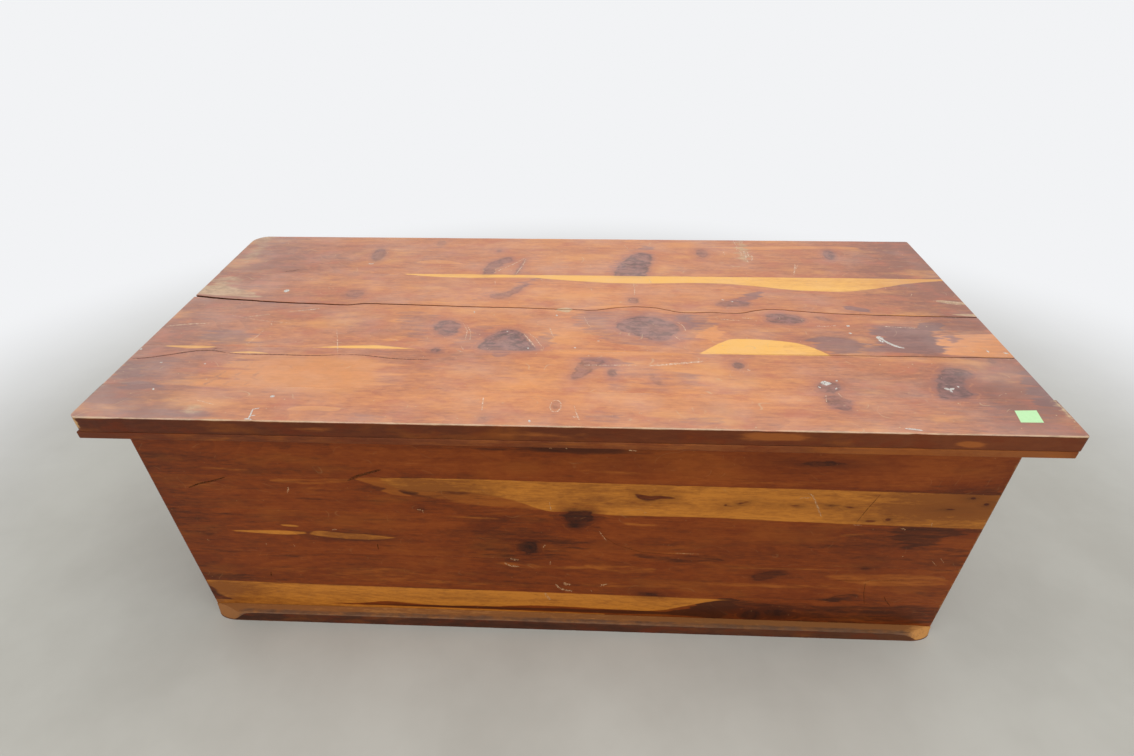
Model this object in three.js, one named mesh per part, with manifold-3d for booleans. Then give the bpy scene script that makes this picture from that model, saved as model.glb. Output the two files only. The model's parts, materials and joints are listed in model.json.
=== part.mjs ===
// A cedar blanket chest: a case of tongued and grooved boards, a lid of boards with lip strips under its
// overhang, butt hinges along the back edge and a slotted stay at each end. Lengths are in millimetres.
//
// While it is built, x runs to the right along the front, y runs from the lid's front edge to the back, and
// z runs up from the floor. The group that is exported moves the origin to the middle of the chest's own box,
// on the floor.
import * as THREE from "three";
import { mergeVertices } from "three/addons/utils/BufferGeometryUtils.js";
import Module from "manifold-3d";

const wasm = await Module();
wasm.setup();

// The whole chest
const lidLength = 1220;
const lidDepth = 547;
const chestHeight = 442;
const endOverhang = 32.5;
const frontOverhang = 33.5;

// Clearances and overruns
const seam = 0.3; // between pieces that touch
const overrun = 6; // how far a cutter runs past what it cuts
const weld = 0.001; // vertices nearer than this are one vertex

// Boards of the case
const panelThick = 20;
const rabbetDeep = 10;
const tongueThick = 6;
const tongueHigh = 6;
const cornerEase = 2;

// Boards of the lid
const lidThick = 24;
const lidEase = 2;
const wornCorner = 24; // the back left corner, rubbed round
const frontLeftCorner = 8;
const frontRightCorner = 4;
const backRightCorner = 4;
const frontBoardProud = 3; // the front board's right end stands past the others
const crackWideLeft = 4.5;
const crackWideRight = 1.5;

// Lip strips that hang outside the case
const lipThick = 10.7;
const lipClear = 3;

// Battens under the lid
const battenWide = 60;
const battenThick = 18;
const battenBevel = 12;
const battenClear = 15;
const battenPlaceShare = 0.36; // of the lid's length, from the middle to an outer batten

// Base strip across the front, with its ends carved back to the case
const baseHigh = 21.6;
const baseProud = 17.2;
const baseEndRun = 38;
const baseWearRun = 46;
const baseWearFloorShare = 0.75; // of the wear's run at the top, how far it runs at the floor

// Floor of the case
const cleatSize = 18;
const cleatLift = 10;
const bottomThick = 16;
const bottomClear = 1;

// Corner posts inside the case
const postSize = 22;
const postChamfer = 8;
const postShort = 40; // how far the posts stop below the rim

// Butt hinges
const hingeLength = 76;
const hingeInset = 130; // from a case end to the near end of its hinge
const leafDeep = 17;
const leafThick = 2;
const barrelRadius = 4;
const hingePinRadius = 1.8;
const hingePinGap = 0.2;
const hingeTipHigh = 1.6;
const knuckleCount = 5;

// Slotted lid stays. The pivot on the lid and the stud on the case lie on one circle about the hinge pin.
const stayRadius = 150;
const stayDrop = 12; // of the pivot below the lid's underside
const stayRestDegrees = 10; // from the pivot to the stud about the hinge pin, with the lid shut
const lidOpenDegrees = 95;
const armWide = 18;
const armThick = 2;
const studRadius = 3;
const studHeadRadius = 6;
const studHeadThick = 2;
const slotClear = 0.4;
const rivetRadius = 2.5;
const rivetHeadRadius = 5;
const rivetHeadThick = 1.2;
const armStandoff = 2.6; // from the stud's plate to the arm
const armGap = 0.5; // from the arm to the heads and the tab beside it
const stayPlateThick = 2;
const stayPlateWide = 24;
const stayPlateHigh = 54;
const stayPlateTop = 12; // from the stud up to the plate's top
const stayPlateRound = 6;
const tabThick = 2;
const flangeWide = 20;
const flangeLong = 44;

// Widths of the boards as shares of their panel, from the floor up or from the front back
const frontShares = [0.1786, 0.19, 0.2248, 0.16, 0.2466];
const backShares = [0.26, 0.24, 0.27, 0.23];
const endShares = [0.25, 0.27, 0.23, 0.25];
const bottomShares = [0.25, 0.25, 0.25, 0.25];
const lidShares = [0.128, 0.171, 0.424, 0.277];

// The crack that splits the widest lid board: along the lid from its left end, and across that board from
// its front edge.
const crackShares = [
  [0, 0.636],
  [0.043, 0.596],
  [0.137, 0.55],
  [0.214, 0.532],
  [0.231, 0.55],
  [0.311, 0.539],
  [0.446, 0.518],
  [0.53, 0.5],
  [0.554, 0.532],
  [0.584, 0.55],
  [0.607, 0.539],
  [0.631, 0.494],
  [0.716, 0.489],
  [0.735, 0.525],
  [0.756, 0.539],
  [0.816, 0.5],
  [0.917, 0.475],
  [1, 0.465],
];

// Facets
const crackSteps = 54;
const cornerSteps = 8;
const roundSteps = 20;

// Places worked out from the sizes above
const lidHalf = lidLength / 2;
const lidUnder = chestHeight - lidThick;
const caseHigh = lidUnder - seam;
const caseHalf = lidHalf - endOverhang;
const caseFront = frontOverhang;
const caseBack = lidDepth;
const innerHalf = caseHalf - panelThick;
const innerFront = caseFront + panelThick;
const innerBack = caseBack - panelThick;
const floorLow = cleatLift + cleatSize + seam;
const floorTop = floorLow + bottomThick;
const hingeY = caseBack + barrelRadius + seam;
const hingeZ = (caseHigh + lidUnder) / 2;

// Finishes of the real pieces
const cedarRed = { color: 0x7a3c22, roughness: 0.45, metalness: 0 };
const cedarDark = { color: 0x5c2c1a, roughness: 0.5, metalness: 0 };
const cedarOrange = { color: 0xb4713f, roughness: 0.5, metalness: 0 };
const cedarLid = { color: 0xb97a56, roughness: 0.55, metalness: 0 };
const cedarRaw = { color: 0xb98a5e, roughness: 0.8, metalness: 0 };
const oldBrass = { color: 0x9a7a3c, roughness: 0.4, metalness: 0.9 };
const oldSteel = { color: 0x7d7a74, roughness: 0.45, metalness: 0.9 };

// A closed three.js geometry as a solid that can be cut and joined.
function solid(geometry) {
  const faces = geometry.index ? geometry.toNonIndexed() : geometry;
  const bare = new THREE.BufferGeometry();
  bare.setAttribute("position", faces.getAttribute("position"));
  const merged = mergeVertices(bare, weld);
  return new wasm.Manifold(
    new wasm.Mesh({
      numProp: 3,
      vertProperties: merged.getAttribute("position").array,
      triVerts: new Uint32Array(merged.index.array),
    }),
  );
}

// A solid as a named mesh with its own finish.
function piece(name, shape, finish) {
  const made = shape.getMesh();
  const stride = made.numProp;
  const places = new Float32Array(made.numVert * 3);
  for (let i = 0; i < made.numVert; i += 1) {
    places.set(made.vertProperties.subarray(i * stride, i * stride + 3), i * 3);
  }
  const geometry = new THREE.BufferGeometry();
  geometry.setAttribute("position", new THREE.BufferAttribute(places, 3));
  geometry.setIndex(new THREE.BufferAttribute(new Uint32Array(made.triVerts), 1));
  geometry.computeVertexNormals();
  const mesh = new THREE.Mesh(geometry, new THREE.MeshStandardMaterial(finish));
  mesh.name = name;
  return mesh;
}

// A box from its lowest to its highest corner.
function block(x0, x1, y0, y1, z0, z1) {
  const box = new THREE.BoxGeometry(x1 - x0, y1 - y0, z1 - z0);
  box.translate((x0 + x1) / 2, (y0 + y1) / 2, (z0 + z1) / 2);
  return solid(box);
}

// An outline in plan, raised from one level to another.
function raised(outline, z0, z1) {
  const options = { depth: z1 - z0, bevelEnabled: false, curveSegments: cornerSteps };
  return solid(new THREE.ExtrudeGeometry(outline, options).translate(0, 0, z0));
}

// Frames that stand a profile up: its first axis, its second axis, and the way that it is carried along.
const axisX = new THREE.Vector3(1, 0, 0);
const axisY = new THREE.Vector3(0, 1, 0);
const axisZ = new THREE.Vector3(0, 0, 1);
const alongFront = new THREE.Matrix4().makeBasis(axisY, axisZ, axisX);
const alongEnd = new THREE.Matrix4().makeBasis(axisX, axisZ, axisY.clone().negate());
const alongLid = new THREE.Matrix4().makeBasis(axisZ, axisY, axisX.clone().negate());

// A profile carried a length along a frame's third axis from a corner.
function carried(profile, frame, length, corner) {
  const options = { depth: length, bevelEnabled: false, curveSegments: cornerSteps };
  const geometry = new THREE.ExtrudeGeometry(profile, options);
  return solid(geometry.applyMatrix4(frame).translate(...corner));
}

// A round bar along x.
function barAlongX(radius, x0, x1, y, z) {
  const bar = new THREE.CylinderGeometry(radius, radius, x1 - x0, roundSteps);
  return solid(bar.rotateZ(Math.PI / 2).translate((x0 + x1) / 2, y, z));
}

// A rectangle in plan with its own radius at each corner, from the front left one, counter-clockwise.
function roundedPlan(x0, x1, y0, y1, radii) {
  const corners = [
    [x0, y0, 1, 1],
    [x1, y0, -1, 1],
    [x1, y1, -1, -1],
    [x0, y1, 1, -1],
  ];
  const outline = new THREE.Shape();
  corners.forEach(([x, y, inX, inY], i) => {
    const radius = radii[i];
    const start = Math.PI + (i * Math.PI) / 2;
    outline.absarc(x + inX * radius, y + inY * radius, radius, start, start + Math.PI / 2);
  });
  outline.closePath();
  return outline;
}

// A board's section: the first axis runs through its thickness, the second across its width from the grooved
// edge to the tongued one.
function boardSection(thick, width, grooved, tongued) {
  const low = (thick - tongueThick) / 2;
  const high = (thick + tongueThick) / 2;
  const section = new THREE.Shape();
  section.moveTo(0, 0);
  if (grooved) {
    section.lineTo(low - seam, 0);
    section.lineTo(low - seam, tongueHigh);
    section.lineTo(high + seam, tongueHigh);
    section.lineTo(high + seam, 0);
  }
  section.lineTo(thick, 0);
  section.lineTo(thick, width);
  if (tongued) {
    section.lineTo(high, width);
    section.lineTo(high, width + tongueHigh);
    section.lineTo(low, width + tongueHigh);
    section.lineTo(low, width);
  }
  section.lineTo(0, width);
  section.closePath();
  return section;
}

// The boards of a panel, side by side across its width, as sections with the place of their first edge.
function courses(total, shares, thick) {
  const whole = shares.reduce((sum, share) => sum + share, 0);
  let edge = 0;
  return shares.map((share, i) => {
    const last = i === shares.length - 1;
    const pitch = (total * share) / whole;
    const course = {
      edge,
      pitch,
      section: boardSection(thick, last ? pitch : pitch - seam, i > 0, !last),
    };
    edge += pitch;
    return course;
  });
}

const five = ["bottom", "lower", "middle", "upper", "top"];
const four = ["bottom", "lower", "upper", "top"];

// The case's four walls, with the ends let into rabbets in the front and the back.
function makeWalls() {
  const walls = new THREE.Group();
  const plan = roundedPlan(-caseHalf, caseHalf, caseFront, caseBack, Array(4).fill(cornerEase));
  const form = raised(plan, 0, caseHigh);
  const rabbetX = innerHalf - seam;
  const rabbetFront = caseFront + panelThick - rabbetDeep;
  const rabbetBack = caseBack - panelThick + rabbetDeep;
  const rabbets = [-1, 1].map((side) => {
    const x0 = side < 0 ? -caseHalf - overrun : rabbetX;
    const x1 = side < 0 ? -rabbetX : caseHalf + overrun;
    return block(x0, x1, rabbetFront, rabbetBack, -overrun, chestHeight);
  });
  const mortises = hingePlaces().map((x) =>
    block(
      x - hingeLength / 2 - seam,
      x + hingeLength / 2 + seam,
      caseBack - leafDeep - seam,
      caseBack + overrun,
      caseHigh - leafThick - seam,
      chestHeight,
    ),
  );

  const long = [
    ["front", frontShares, five, caseFront],
    ["back", backShares, four, innerBack],
  ];
  for (const [side, shares, names, y] of long) {
    courses(caseHigh, shares, panelThick).forEach(({ edge, section }, i) => {
      let board = carried(section, alongFront, 2 * caseHalf, [-caseHalf, y, edge]);
      board = board.intersect(form);
      rabbets.forEach((cut) => (board = board.subtract(cut)));
      if (side === "back") mortises.forEach((cut) => (board = board.subtract(cut)));
      walls.add(piece(`${side}_board_${names[i]}`, board, cedarRed));
    });
  }

  const endFront = rabbetFront + seam;
  const endBack = rabbetBack - seam;
  for (const [side, x] of [["left", -caseHalf], ["right", innerHalf]]) {
    courses(caseHigh, endShares, panelThick).forEach(({ edge, section }, i) => {
      const board = carried(section, alongEnd, endBack - endFront, [x, endBack, edge]);
      walls.add(piece(`${side}_end_board_${four[i]}`, board, cedarRed));
    });
  }
  return walls;
}

// The floor boards on their cleats, and the posts that stiffen the corners.
function makeInside() {
  const inside = new THREE.Group();
  const cleatTop = cleatLift + cleatSize;
  for (const [side, y] of [["front", innerFront + seam], ["back", innerBack - seam - cleatSize]]) {
    const cleat = block(-innerHalf + seam, innerHalf - seam, y, y + cleatSize, cleatLift, cleatTop);
    inside.add(piece(`${side}_cleat`, cleat, cedarRaw));
  }
  for (const [side, x] of [["left", -innerHalf + seam], ["right", innerHalf - seam - cleatSize]]) {
    const y0 = innerFront + cleatSize + 2 * seam;
    const y1 = innerBack - cleatSize - 2 * seam;
    inside.add(piece(`${side}_cleat`, block(x, x + cleatSize, y0, y1, cleatLift, cleatTop), cedarRaw));
  }

  const floorHalf = innerHalf - bottomClear;
  const floorFront = innerFront + bottomClear;
  const floorDeep = innerBack - innerFront - 2 * bottomClear;
  courses(floorDeep, bottomShares, bottomThick).forEach(({ edge, section }, i) => {
    const corner = [floorHalf, floorFront + edge, floorLow];
    const board = carried(section, alongLid, 2 * floorHalf, corner);
    inside.add(piece(`bottom_board_${i + 1}`, board, cedarRaw));
  });

  const post = new THREE.Shape();
  post.moveTo(0, 0);
  post.lineTo(postSize, 0);
  post.lineTo(postSize, postSize - postChamfer);
  post.lineTo(postSize - postChamfer, postSize);
  post.lineTo(0, postSize);
  post.closePath();
  const quarters = [
    ["front_left", -innerHalf + seam, innerFront + seam, 0],
    ["front_right", innerHalf - seam, innerFront + seam, 1],
    ["back_right", innerHalf - seam, innerBack - seam, 2],
    ["back_left", -innerHalf + seam, innerBack - seam, 3],
  ];
  const postLow = floorTop + seam;
  for (const [place, x, y, turns] of quarters) {
    const options = { depth: caseHigh - postShort - postLow, bevelEnabled: false };
    const geometry = new THREE.ExtrudeGeometry(post, options);
    geometry.rotateZ((turns * Math.PI) / 2).translate(x, y, postLow);
    inside.add(piece(`corner_post_${place}`, solid(geometry), cedarRaw));
  }
  return inside;
}

// A plane's normal and offset through three points.
function planeThrough(a, b, c) {
  const plane = new THREE.Plane();
  plane.setFromCoplanarPoints(a, b, c);
  return [plane.normal.toArray(), -plane.constant];
}

// The strip along the foot of the front, whose ends curve back to the case and are worn down to the floor.
function makeBaseStrip() {
  const back = caseFront - seam;
  const front = caseFront - baseProud;
  const run = caseHalf - baseEndRun;
  const outline = new THREE.Shape();
  outline.moveTo(caseHalf, back);
  outline.lineTo(-caseHalf, back);
  outline.absellipse(-run, back, baseEndRun, back - front, Math.PI, 1.5 * Math.PI);
  outline.absellipse(run, back, baseEndRun, back - front, 1.5 * Math.PI, 2 * Math.PI);
  outline.closePath();
  let strip = raised(outline, 0, baseHigh);
  for (const side of [-1, 1]) {
    const corner = new THREE.Vector3(side * caseHalf, back, baseHigh);
    const high = new THREE.Vector3(side * (caseHalf - baseWearRun), front, baseHigh);
    const low = new THREE.Vector3(side * (caseHalf - baseWearRun * baseWearFloorShare), front, 0);
    const [normal, offset] = side < 0 ? planeThrough(corner, high, low) : planeThrough(corner, low, high);
    const inward = normal[0] * side < 0 ? 1 : -1;
    strip = strip.trimByPlane(normal.map((n) => n * inward), offset * inward);
  }
  return piece("base_strip", strip, cedarRaw);
}

// The curve of the crack in plan, and its width along the way.
function crackOutline(front, width) {
  const points = crackShares.map(
    ([along, across]) => new THREE.Vector2(-lidHalf + along * lidLength, front + across * width),
  );
  const curve = new THREE.SplineCurve(points).getPoints(crackSteps);
  const first = curve[0].clone().setX(curve[0].x - overrun);
  const last = curve[curve.length - 1].clone();
  last.x += overrun + frontBoardProud;
  const line = [first, ...curve, last];
  const halfGap = ({ x }) => {
    const share = THREE.MathUtils.clamp((x + lidHalf) / lidLength, 0, 1);
    return THREE.MathUtils.lerp(crackWideLeft, crackWideRight, share) / 2;
  };
  const near = line.map((p) => new THREE.Vector2(p.x, p.y - halfGap(p)));
  const far = line.map((p) => new THREE.Vector2(p.x, p.y + halfGap(p))).reverse();
  return new THREE.Shape([...near, ...far]);
}

// The lid's whole form with eased edges and worn corners, down to the lip's underside.
function lidForm(right) {
  const radii = [frontLeftCorner, frontRightCorner, backRightCorner, wornCorner];
  const outline = roundedPlan(-lidHalf, right, 0, lidDepth, radii);
  const options = {
    depth: lidThick + lipThick - 2 * lidEase,
    bevelThickness: lidEase,
    bevelSize: lidEase,
    bevelOffset: -lidEase,
    bevelSegments: 2,
    curveSegments: cornerSteps,
  };
  const geometry = new THREE.ExtrudeGeometry(outline, options);
  return solid(geometry.translate(0, 0, chestHeight - lidThick - lipThick + lidEase));
}

// The lid's boards, the strips under its overhang and the battens that hold it flat.
function makeLid() {
  const lid = new THREE.Group();
  const form = lidForm(lidHalf);
  const proudForm = lidForm(lidHalf + frontBoardProud);
  const mortises = hingePlaces().map((x) =>
    block(
      x - hingeLength / 2 - seam,
      x + hingeLength / 2 + seam,
      caseBack - leafDeep - seam,
      caseBack + overrun,
      lidUnder - overrun,
      lidUnder + leafThick + seam,
    ),
  );

  courses(lidDepth, lidShares, lidThick).forEach(({ edge, pitch, section }, i) => {
    const reach = lidHalf + frontBoardProud;
    const board = carried(section, alongLid, 2 * reach, [reach, edge, lidUnder]);
    if (i === 0) {
      lid.add(piece("lid_board_front", board.intersect(proudForm), cedarLid));
    } else if (i === 1) {
      lid.add(piece("lid_board_second", board.intersect(form), cedarLid));
    } else if (i === 2) {
      const crack = raised(crackOutline(edge, pitch), lidUnder - overrun, chestHeight + overrun);
      const halves = board.intersect(form).subtract(crack).decompose();
      halves.sort((a, b) => a.boundingBox().min[1] - b.boundingBox().min[1]);
      lid.add(piece("lid_board_split_front", halves[0], cedarLid));
      lid.add(piece("lid_board_split_back", halves[1], cedarLid));
    } else {
      let back = board.intersect(form);
      mortises.forEach((cut) => (back = back.subtract(cut)));
      lid.add(piece("lid_board_back", back, cedarLid));
    }
  });

  const lipLow = lidUnder - lipThick;
  const lipTop = lidUnder - seam;
  const lipFrontBack = caseFront - lipClear;
  const frontLip = block(-lidHalf, lidHalf, 0, lipFrontBack, lipLow, lipTop).intersect(form);
  lid.add(piece("lid_lip_front", frontLip, cedarOrange));
  for (const [side, x0, x1] of [
    ["left", -lidHalf, -caseHalf - lipClear],
    ["right", caseHalf + lipClear, lidHalf],
  ]) {
    const lip = block(x0, x1, lipFrontBack + seam, lidDepth, lipLow, lipTop).intersect(form);
    lid.add(piece(`lid_lip_${side}`, lip, cedarOrange));
  }

  const battenFront = innerFront + battenClear;
  const battenLong = innerBack - battenClear - battenFront;
  const batten = new THREE.Shape();
  batten.moveTo(0, 0);
  batten.lineTo(0, battenBevel - battenThick);
  batten.lineTo(battenBevel, -battenThick);
  batten.lineTo(battenLong - battenBevel, -battenThick);
  batten.lineTo(battenLong, battenBevel - battenThick);
  batten.lineTo(battenLong, 0);
  batten.closePath();
  for (const [side, share] of [["left", -battenPlaceShare], ["middle", 0], ["right", battenPlaceShare]]) {
    const corner = [share * lidLength - battenWide / 2, battenFront, lipTop];
    lid.add(piece(`lid_batten_${side}`, carried(batten, alongFront, battenWide, corner), cedarRaw));
  }
  return lid;
}

// Where the hinges' middles lie along the back.
function hingePlaces() {
  const outer = caseHalf - hingeInset - hingeLength / 2;
  return [-outer, 0, outer];
}

// A butt hinge: a leaf let into the case, a leaf let into the lid, their knuckles in turn along the pin.
function makeHinge(side, x) {
  const hinge = new THREE.Group();
  const start = x - hingeLength / 2;
  const knuckle = hingeLength / knuckleCount;
  const leaf = (z0, z1, mine) => {
    let made = block(start, start + hingeLength, caseBack - leafDeep, hingeY, z0, z1);
    for (let i = 0; i < knuckleCount; i += 1) {
      const x0 = start + i * knuckle;
      if (i % 2 === mine) {
        const low = i === 0 ? x0 : x0 + seam / 2;
        const high = i === knuckleCount - 1 ? x0 + knuckle : x0 + knuckle - seam / 2;
        made = made.add(barAlongX(barrelRadius, low, high, hingeY, hingeZ));
      }
    }
    for (let i = 0; i < knuckleCount; i += 1) {
      const x0 = start + i * knuckle;
      if (i % 2 !== mine) {
        const gap = barAlongX(barrelRadius + seam, x0 - seam / 2, x0 + knuckle + seam / 2, hingeY, hingeZ);
        made = made.subtract(gap);
      }
    }
    const boreRadius = hingePinRadius + hingePinGap;
    return made.subtract(barAlongX(boreRadius, start - overrun, start + hingeLength + overrun, hingeY, hingeZ));
  };
  hinge.add(piece(`hinge_${side}_case_leaf`, leaf(caseHigh - leafThick, caseHigh, 0), oldBrass));
  hinge.add(piece(`hinge_${side}_lid_leaf`, leaf(lidUnder, lidUnder + leafThick, 1), oldBrass));

  const tips = [start - seam - hingeTipHigh, start + hingeLength + seam];
  let pin = barAlongX(hingePinRadius, tips[0], tips[1] + hingeTipHigh, hingeY, hingeZ);
  for (const tip of tips) {
    pin = pin.add(barAlongX(barrelRadius, tip, tip + hingeTipHigh, hingeY, hingeZ));
  }
  hinge.add(piece(`hinge_${side}_pin`, pin, oldBrass));
  return hinge;
}

// A slotted stay at one end. The arm turns on a rivet in the lid's bracket, and a headed stud on the case
// runs along its slot. The rivet and the stud are the same distance from the hinge pin, so the arm turns
// half as far as the lid.
function makeStay(side) {
  const stay = new THREE.Group();
  const sign = side === "left" ? -1 : 1;
  const radians = THREE.MathUtils.degToRad;
  const pivotAngle = Math.asin((hingeZ - lidUnder + stayDrop) / stayRadius);
  const studAngle = pivotAngle + radians(stayRestDegrees);
  const onCircle = (angle) => [
    hingeY - stayRadius * Math.cos(angle),
    hingeZ - stayRadius * Math.sin(angle),
  ];
  const [pivotY, pivotZ] = onCircle(pivotAngle);
  const [studY, studZ] = onCircle(studAngle);
  const shutReach = 2 * stayRadius * Math.sin(radians(stayRestDegrees) / 2);
  const openReach = 2 * stayRadius * Math.sin(radians(stayRestDegrees + lidOpenDegrees) / 2);

  // Distances inwards from the end board's inner face, and the span between two of them along x.
  const plateNear = seam;
  const plateFar = plateNear + stayPlateThick;
  const armNear = plateFar + armStandoff;
  const armFar = armNear + armThick;
  const headNear = armFar + armGap;
  const span = (near, far) => {
    const a = sign * (innerHalf - near);
    const b = sign * (innerHalf - far);
    return [Math.min(a, b), Math.max(a, b)];
  };
  const flatAt = (outline, near, far) => {
    const [x0, x1] = span(near, far);
    return carried(outline, alongFront, x1 - x0, [x0, 0, 0]);
  };

  // The arm lies along its own first axis from the rivet's hole, and is turned to hang down to the stud.
  const slotRound = studRadius + slotClear;
  const armRound = armWide / 2;
  const armEnd = openReach + slotRound;
  const arm = new THREE.Shape();
  arm.absarc(0, 0, armRound, Math.PI / 2, 1.5 * Math.PI);
  arm.absarc(armEnd, 0, armRound, 1.5 * Math.PI, 2.5 * Math.PI);
  arm.closePath();
  const slot = new THREE.Path();
  slot.absarc(shutReach, 0, slotRound, Math.PI / 2, 1.5 * Math.PI);
  slot.absarc(openReach, 0, slotRound, 1.5 * Math.PI, 2.5 * Math.PI);
  slot.closePath();
  const hole = new THREE.Path();
  hole.absarc(0, 0, rivetRadius + seam, 0, 2 * Math.PI);
  arm.holes.push(slot, hole);
  const [armX0, armX1] = span(armNear, armFar);
  const armSolid = carried(arm, alongFront, armX1 - armX0, [0, 0, 0]);
  const armMesh = piece(`stay_arm_${side}`, armSolid, oldSteel);
  armMesh.position.set(armX0, pivotY, pivotZ);
  armMesh.rotation.x = Math.atan2(studZ - pivotZ, studY - pivotY);
  stay.add(armMesh);

  // The plate on the end board with its stud, whose head keeps the arm on.
  const plateLow = studZ + stayPlateTop - stayPlateHigh;
  const plateOutline = roundedPlan(
    studY - stayPlateWide / 2,
    studY + stayPlateWide / 2,
    plateLow,
    plateLow + stayPlateHigh,
    Array(4).fill(stayPlateRound),
  );
  const plate = flatAt(plateOutline, plateNear, plateFar)
    .add(barAlongX(studRadius, ...span(plateNear, headNear + studHeadThick), studY, studZ))
    .add(barAlongX(studHeadRadius, ...span(headNear, headNear + studHeadThick), studY, studZ));
  stay.add(piece(`stay_stud_plate_${side}`, plate, oldSteel));

  // The bracket under the lid: a flange, a tab that hangs from it and the rivet that carries the arm.
  const flangeTop = lidUnder - seam;
  const tab = new THREE.Shape();
  tab.moveTo(pivotY + armRound, flangeTop);
  tab.lineTo(pivotY - armRound, flangeTop);
  tab.absarc(pivotY, pivotZ, armRound, Math.PI, 2 * Math.PI);
  tab.closePath();
  const [flangeX0, flangeX1] = span(headNear, headNear + flangeWide);
  const flangeY = pivotY - flangeLong / 2;
  const flangeLow = flangeTop - tabThick;
  const bracket = flatAt(tab, headNear, headNear + tabThick)
    .add(block(flangeX0, flangeX1, flangeY, flangeY + flangeLong, flangeLow, flangeTop))
    .add(barAlongX(rivetRadius, ...span(armNear - armGap - rivetHeadThick, headNear + tabThick), pivotY, pivotZ))
    .add(barAlongX(rivetHeadRadius, ...span(armNear - armGap - rivetHeadThick, armNear - armGap), pivotY, pivotZ));
  stay.add(piece(`stay_bracket_${side}`, bracket, oldSteel));
  return stay;
}

const chest = new THREE.Group();
chest.add(makeWalls(), makeInside(), makeBaseStrip(), makeLid());
const hingeSides = ["left", "middle", "right"];
hingePlaces().forEach((x, i) => chest.add(makeHinge(hingeSides[i], x)));
chest.add(makeStay("left"), makeStay("right"));

// The origin goes to the middle of the chest's box, which the proud lid board and the hinge barrels bound.
chest.position.set(-frontBoardProud / 2, -(hingeY + barrelRadius) / 2, 0);

export default chest;
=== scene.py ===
"""A worn cedar blanket chest in soft studio light, seen from the photograph's camera.

Boards are outlines with eased arrises, worked out at stations along them. They also carry fields for knots,
sapwood, stains and worn varnish, which their material reads. Posts, battens and metalwork keep their CAD form.
Lengths are in metres, in the chest's own frame: the front faces -Y and +Z is up.
"""
import json
import math

import bpy
import numpy as np
from mathutils import Matrix, Vector

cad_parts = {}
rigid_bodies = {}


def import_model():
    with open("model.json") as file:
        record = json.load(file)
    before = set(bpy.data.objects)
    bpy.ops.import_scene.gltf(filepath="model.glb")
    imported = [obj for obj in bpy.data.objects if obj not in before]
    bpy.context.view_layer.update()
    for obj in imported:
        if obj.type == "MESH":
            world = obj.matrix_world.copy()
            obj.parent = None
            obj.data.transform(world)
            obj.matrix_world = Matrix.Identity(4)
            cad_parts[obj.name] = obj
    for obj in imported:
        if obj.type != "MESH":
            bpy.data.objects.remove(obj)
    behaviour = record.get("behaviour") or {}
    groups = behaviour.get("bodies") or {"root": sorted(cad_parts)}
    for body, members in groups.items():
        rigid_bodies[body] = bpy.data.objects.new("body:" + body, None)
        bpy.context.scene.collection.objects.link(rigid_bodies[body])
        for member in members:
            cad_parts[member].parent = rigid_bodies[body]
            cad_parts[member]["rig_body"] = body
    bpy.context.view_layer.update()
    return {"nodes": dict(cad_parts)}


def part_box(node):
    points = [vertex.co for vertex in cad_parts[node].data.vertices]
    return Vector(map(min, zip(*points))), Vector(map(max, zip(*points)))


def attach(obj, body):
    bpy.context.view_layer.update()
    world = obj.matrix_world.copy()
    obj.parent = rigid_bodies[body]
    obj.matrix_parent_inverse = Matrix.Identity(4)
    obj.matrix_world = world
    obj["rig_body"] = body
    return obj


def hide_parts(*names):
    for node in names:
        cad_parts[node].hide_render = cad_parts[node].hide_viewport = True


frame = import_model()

MM = 0.001
NODES = frame["nodes"]
LID_BOARDS = ["lid_board_" + part for part in ("front", "second", "split_front", "split_back", "back")]
FRONT_BOARDS = ["front_board_" + part for part in ("top", "upper", "middle", "lower", "bottom")]
SEAM = 0.15 * MM  # what a floor board leaves free at its far side
TIGHT = 0.04 * MM  # what a board of the lid or the walls leaves free at a joint
HAIR = 0.01 * MM  # the distance between two stations that make a step
CLEAR = 0.3 * MM  # how much wider a recess is than the piece in it
LEAF_THICK = 2 * MM  # a hinge leaf


def low_high(*names):
    """The lowest and highest corners of the box round some CAD nodes, as arrays."""
    boxes = [np.array(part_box(name)) for name in names]
    return np.min(boxes, axis=0)[0], np.max(boxes, axis=0)[1]


# The front board stands out a little at the right, so only its front edge counts.
LID_LOW, LID_HIGH = low_high(*LID_BOARDS[1:])
LID_LOW[1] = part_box("lid_board_front")[0][1]
CASE_LOW, CASE_HIGH = low_high(*FRONT_BOARDS)
LID_MIDDLE = (LID_LOW[0] + LID_HIGH[0]) / 2
LID_TOP = LID_HIGH[2]

# Places on the lid and the front are read on a sheet laid over them: so many units along from the middle, and
# so many across from the lid's front edge or down from its top. One unit is a millimetre on the real chest.
SHEET_LONG = 1220
SHEET_DEEP = 547
SHEET_HIGH = 442
ALONG = (LID_HIGH[0] - LID_LOW[0]) / SHEET_LONG
ACROSS = (LID_HIGH[1] - LID_LOW[1]) / SHEET_DEEP
DOWN = LID_TOP / SHEET_HIGH
LEFT_EDGE = -612  # where the lid's left edge is worn

# The camera's lens and stance put the lid's corners and the board joints where the photograph has them.
PHOTO_WIDTH = 1134
FOCAL_PIXELS = 646.8
SENSOR = 36
CAMERA_PITCH = 0.6246
CAMERA_YAW = -0.0474
CAMERA_ROLL = -0.0112
CAMERA_FROM_LID = (34.05, -591.1, 498.1)  # sheet units from the middle of the lid's top front edge


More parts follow.
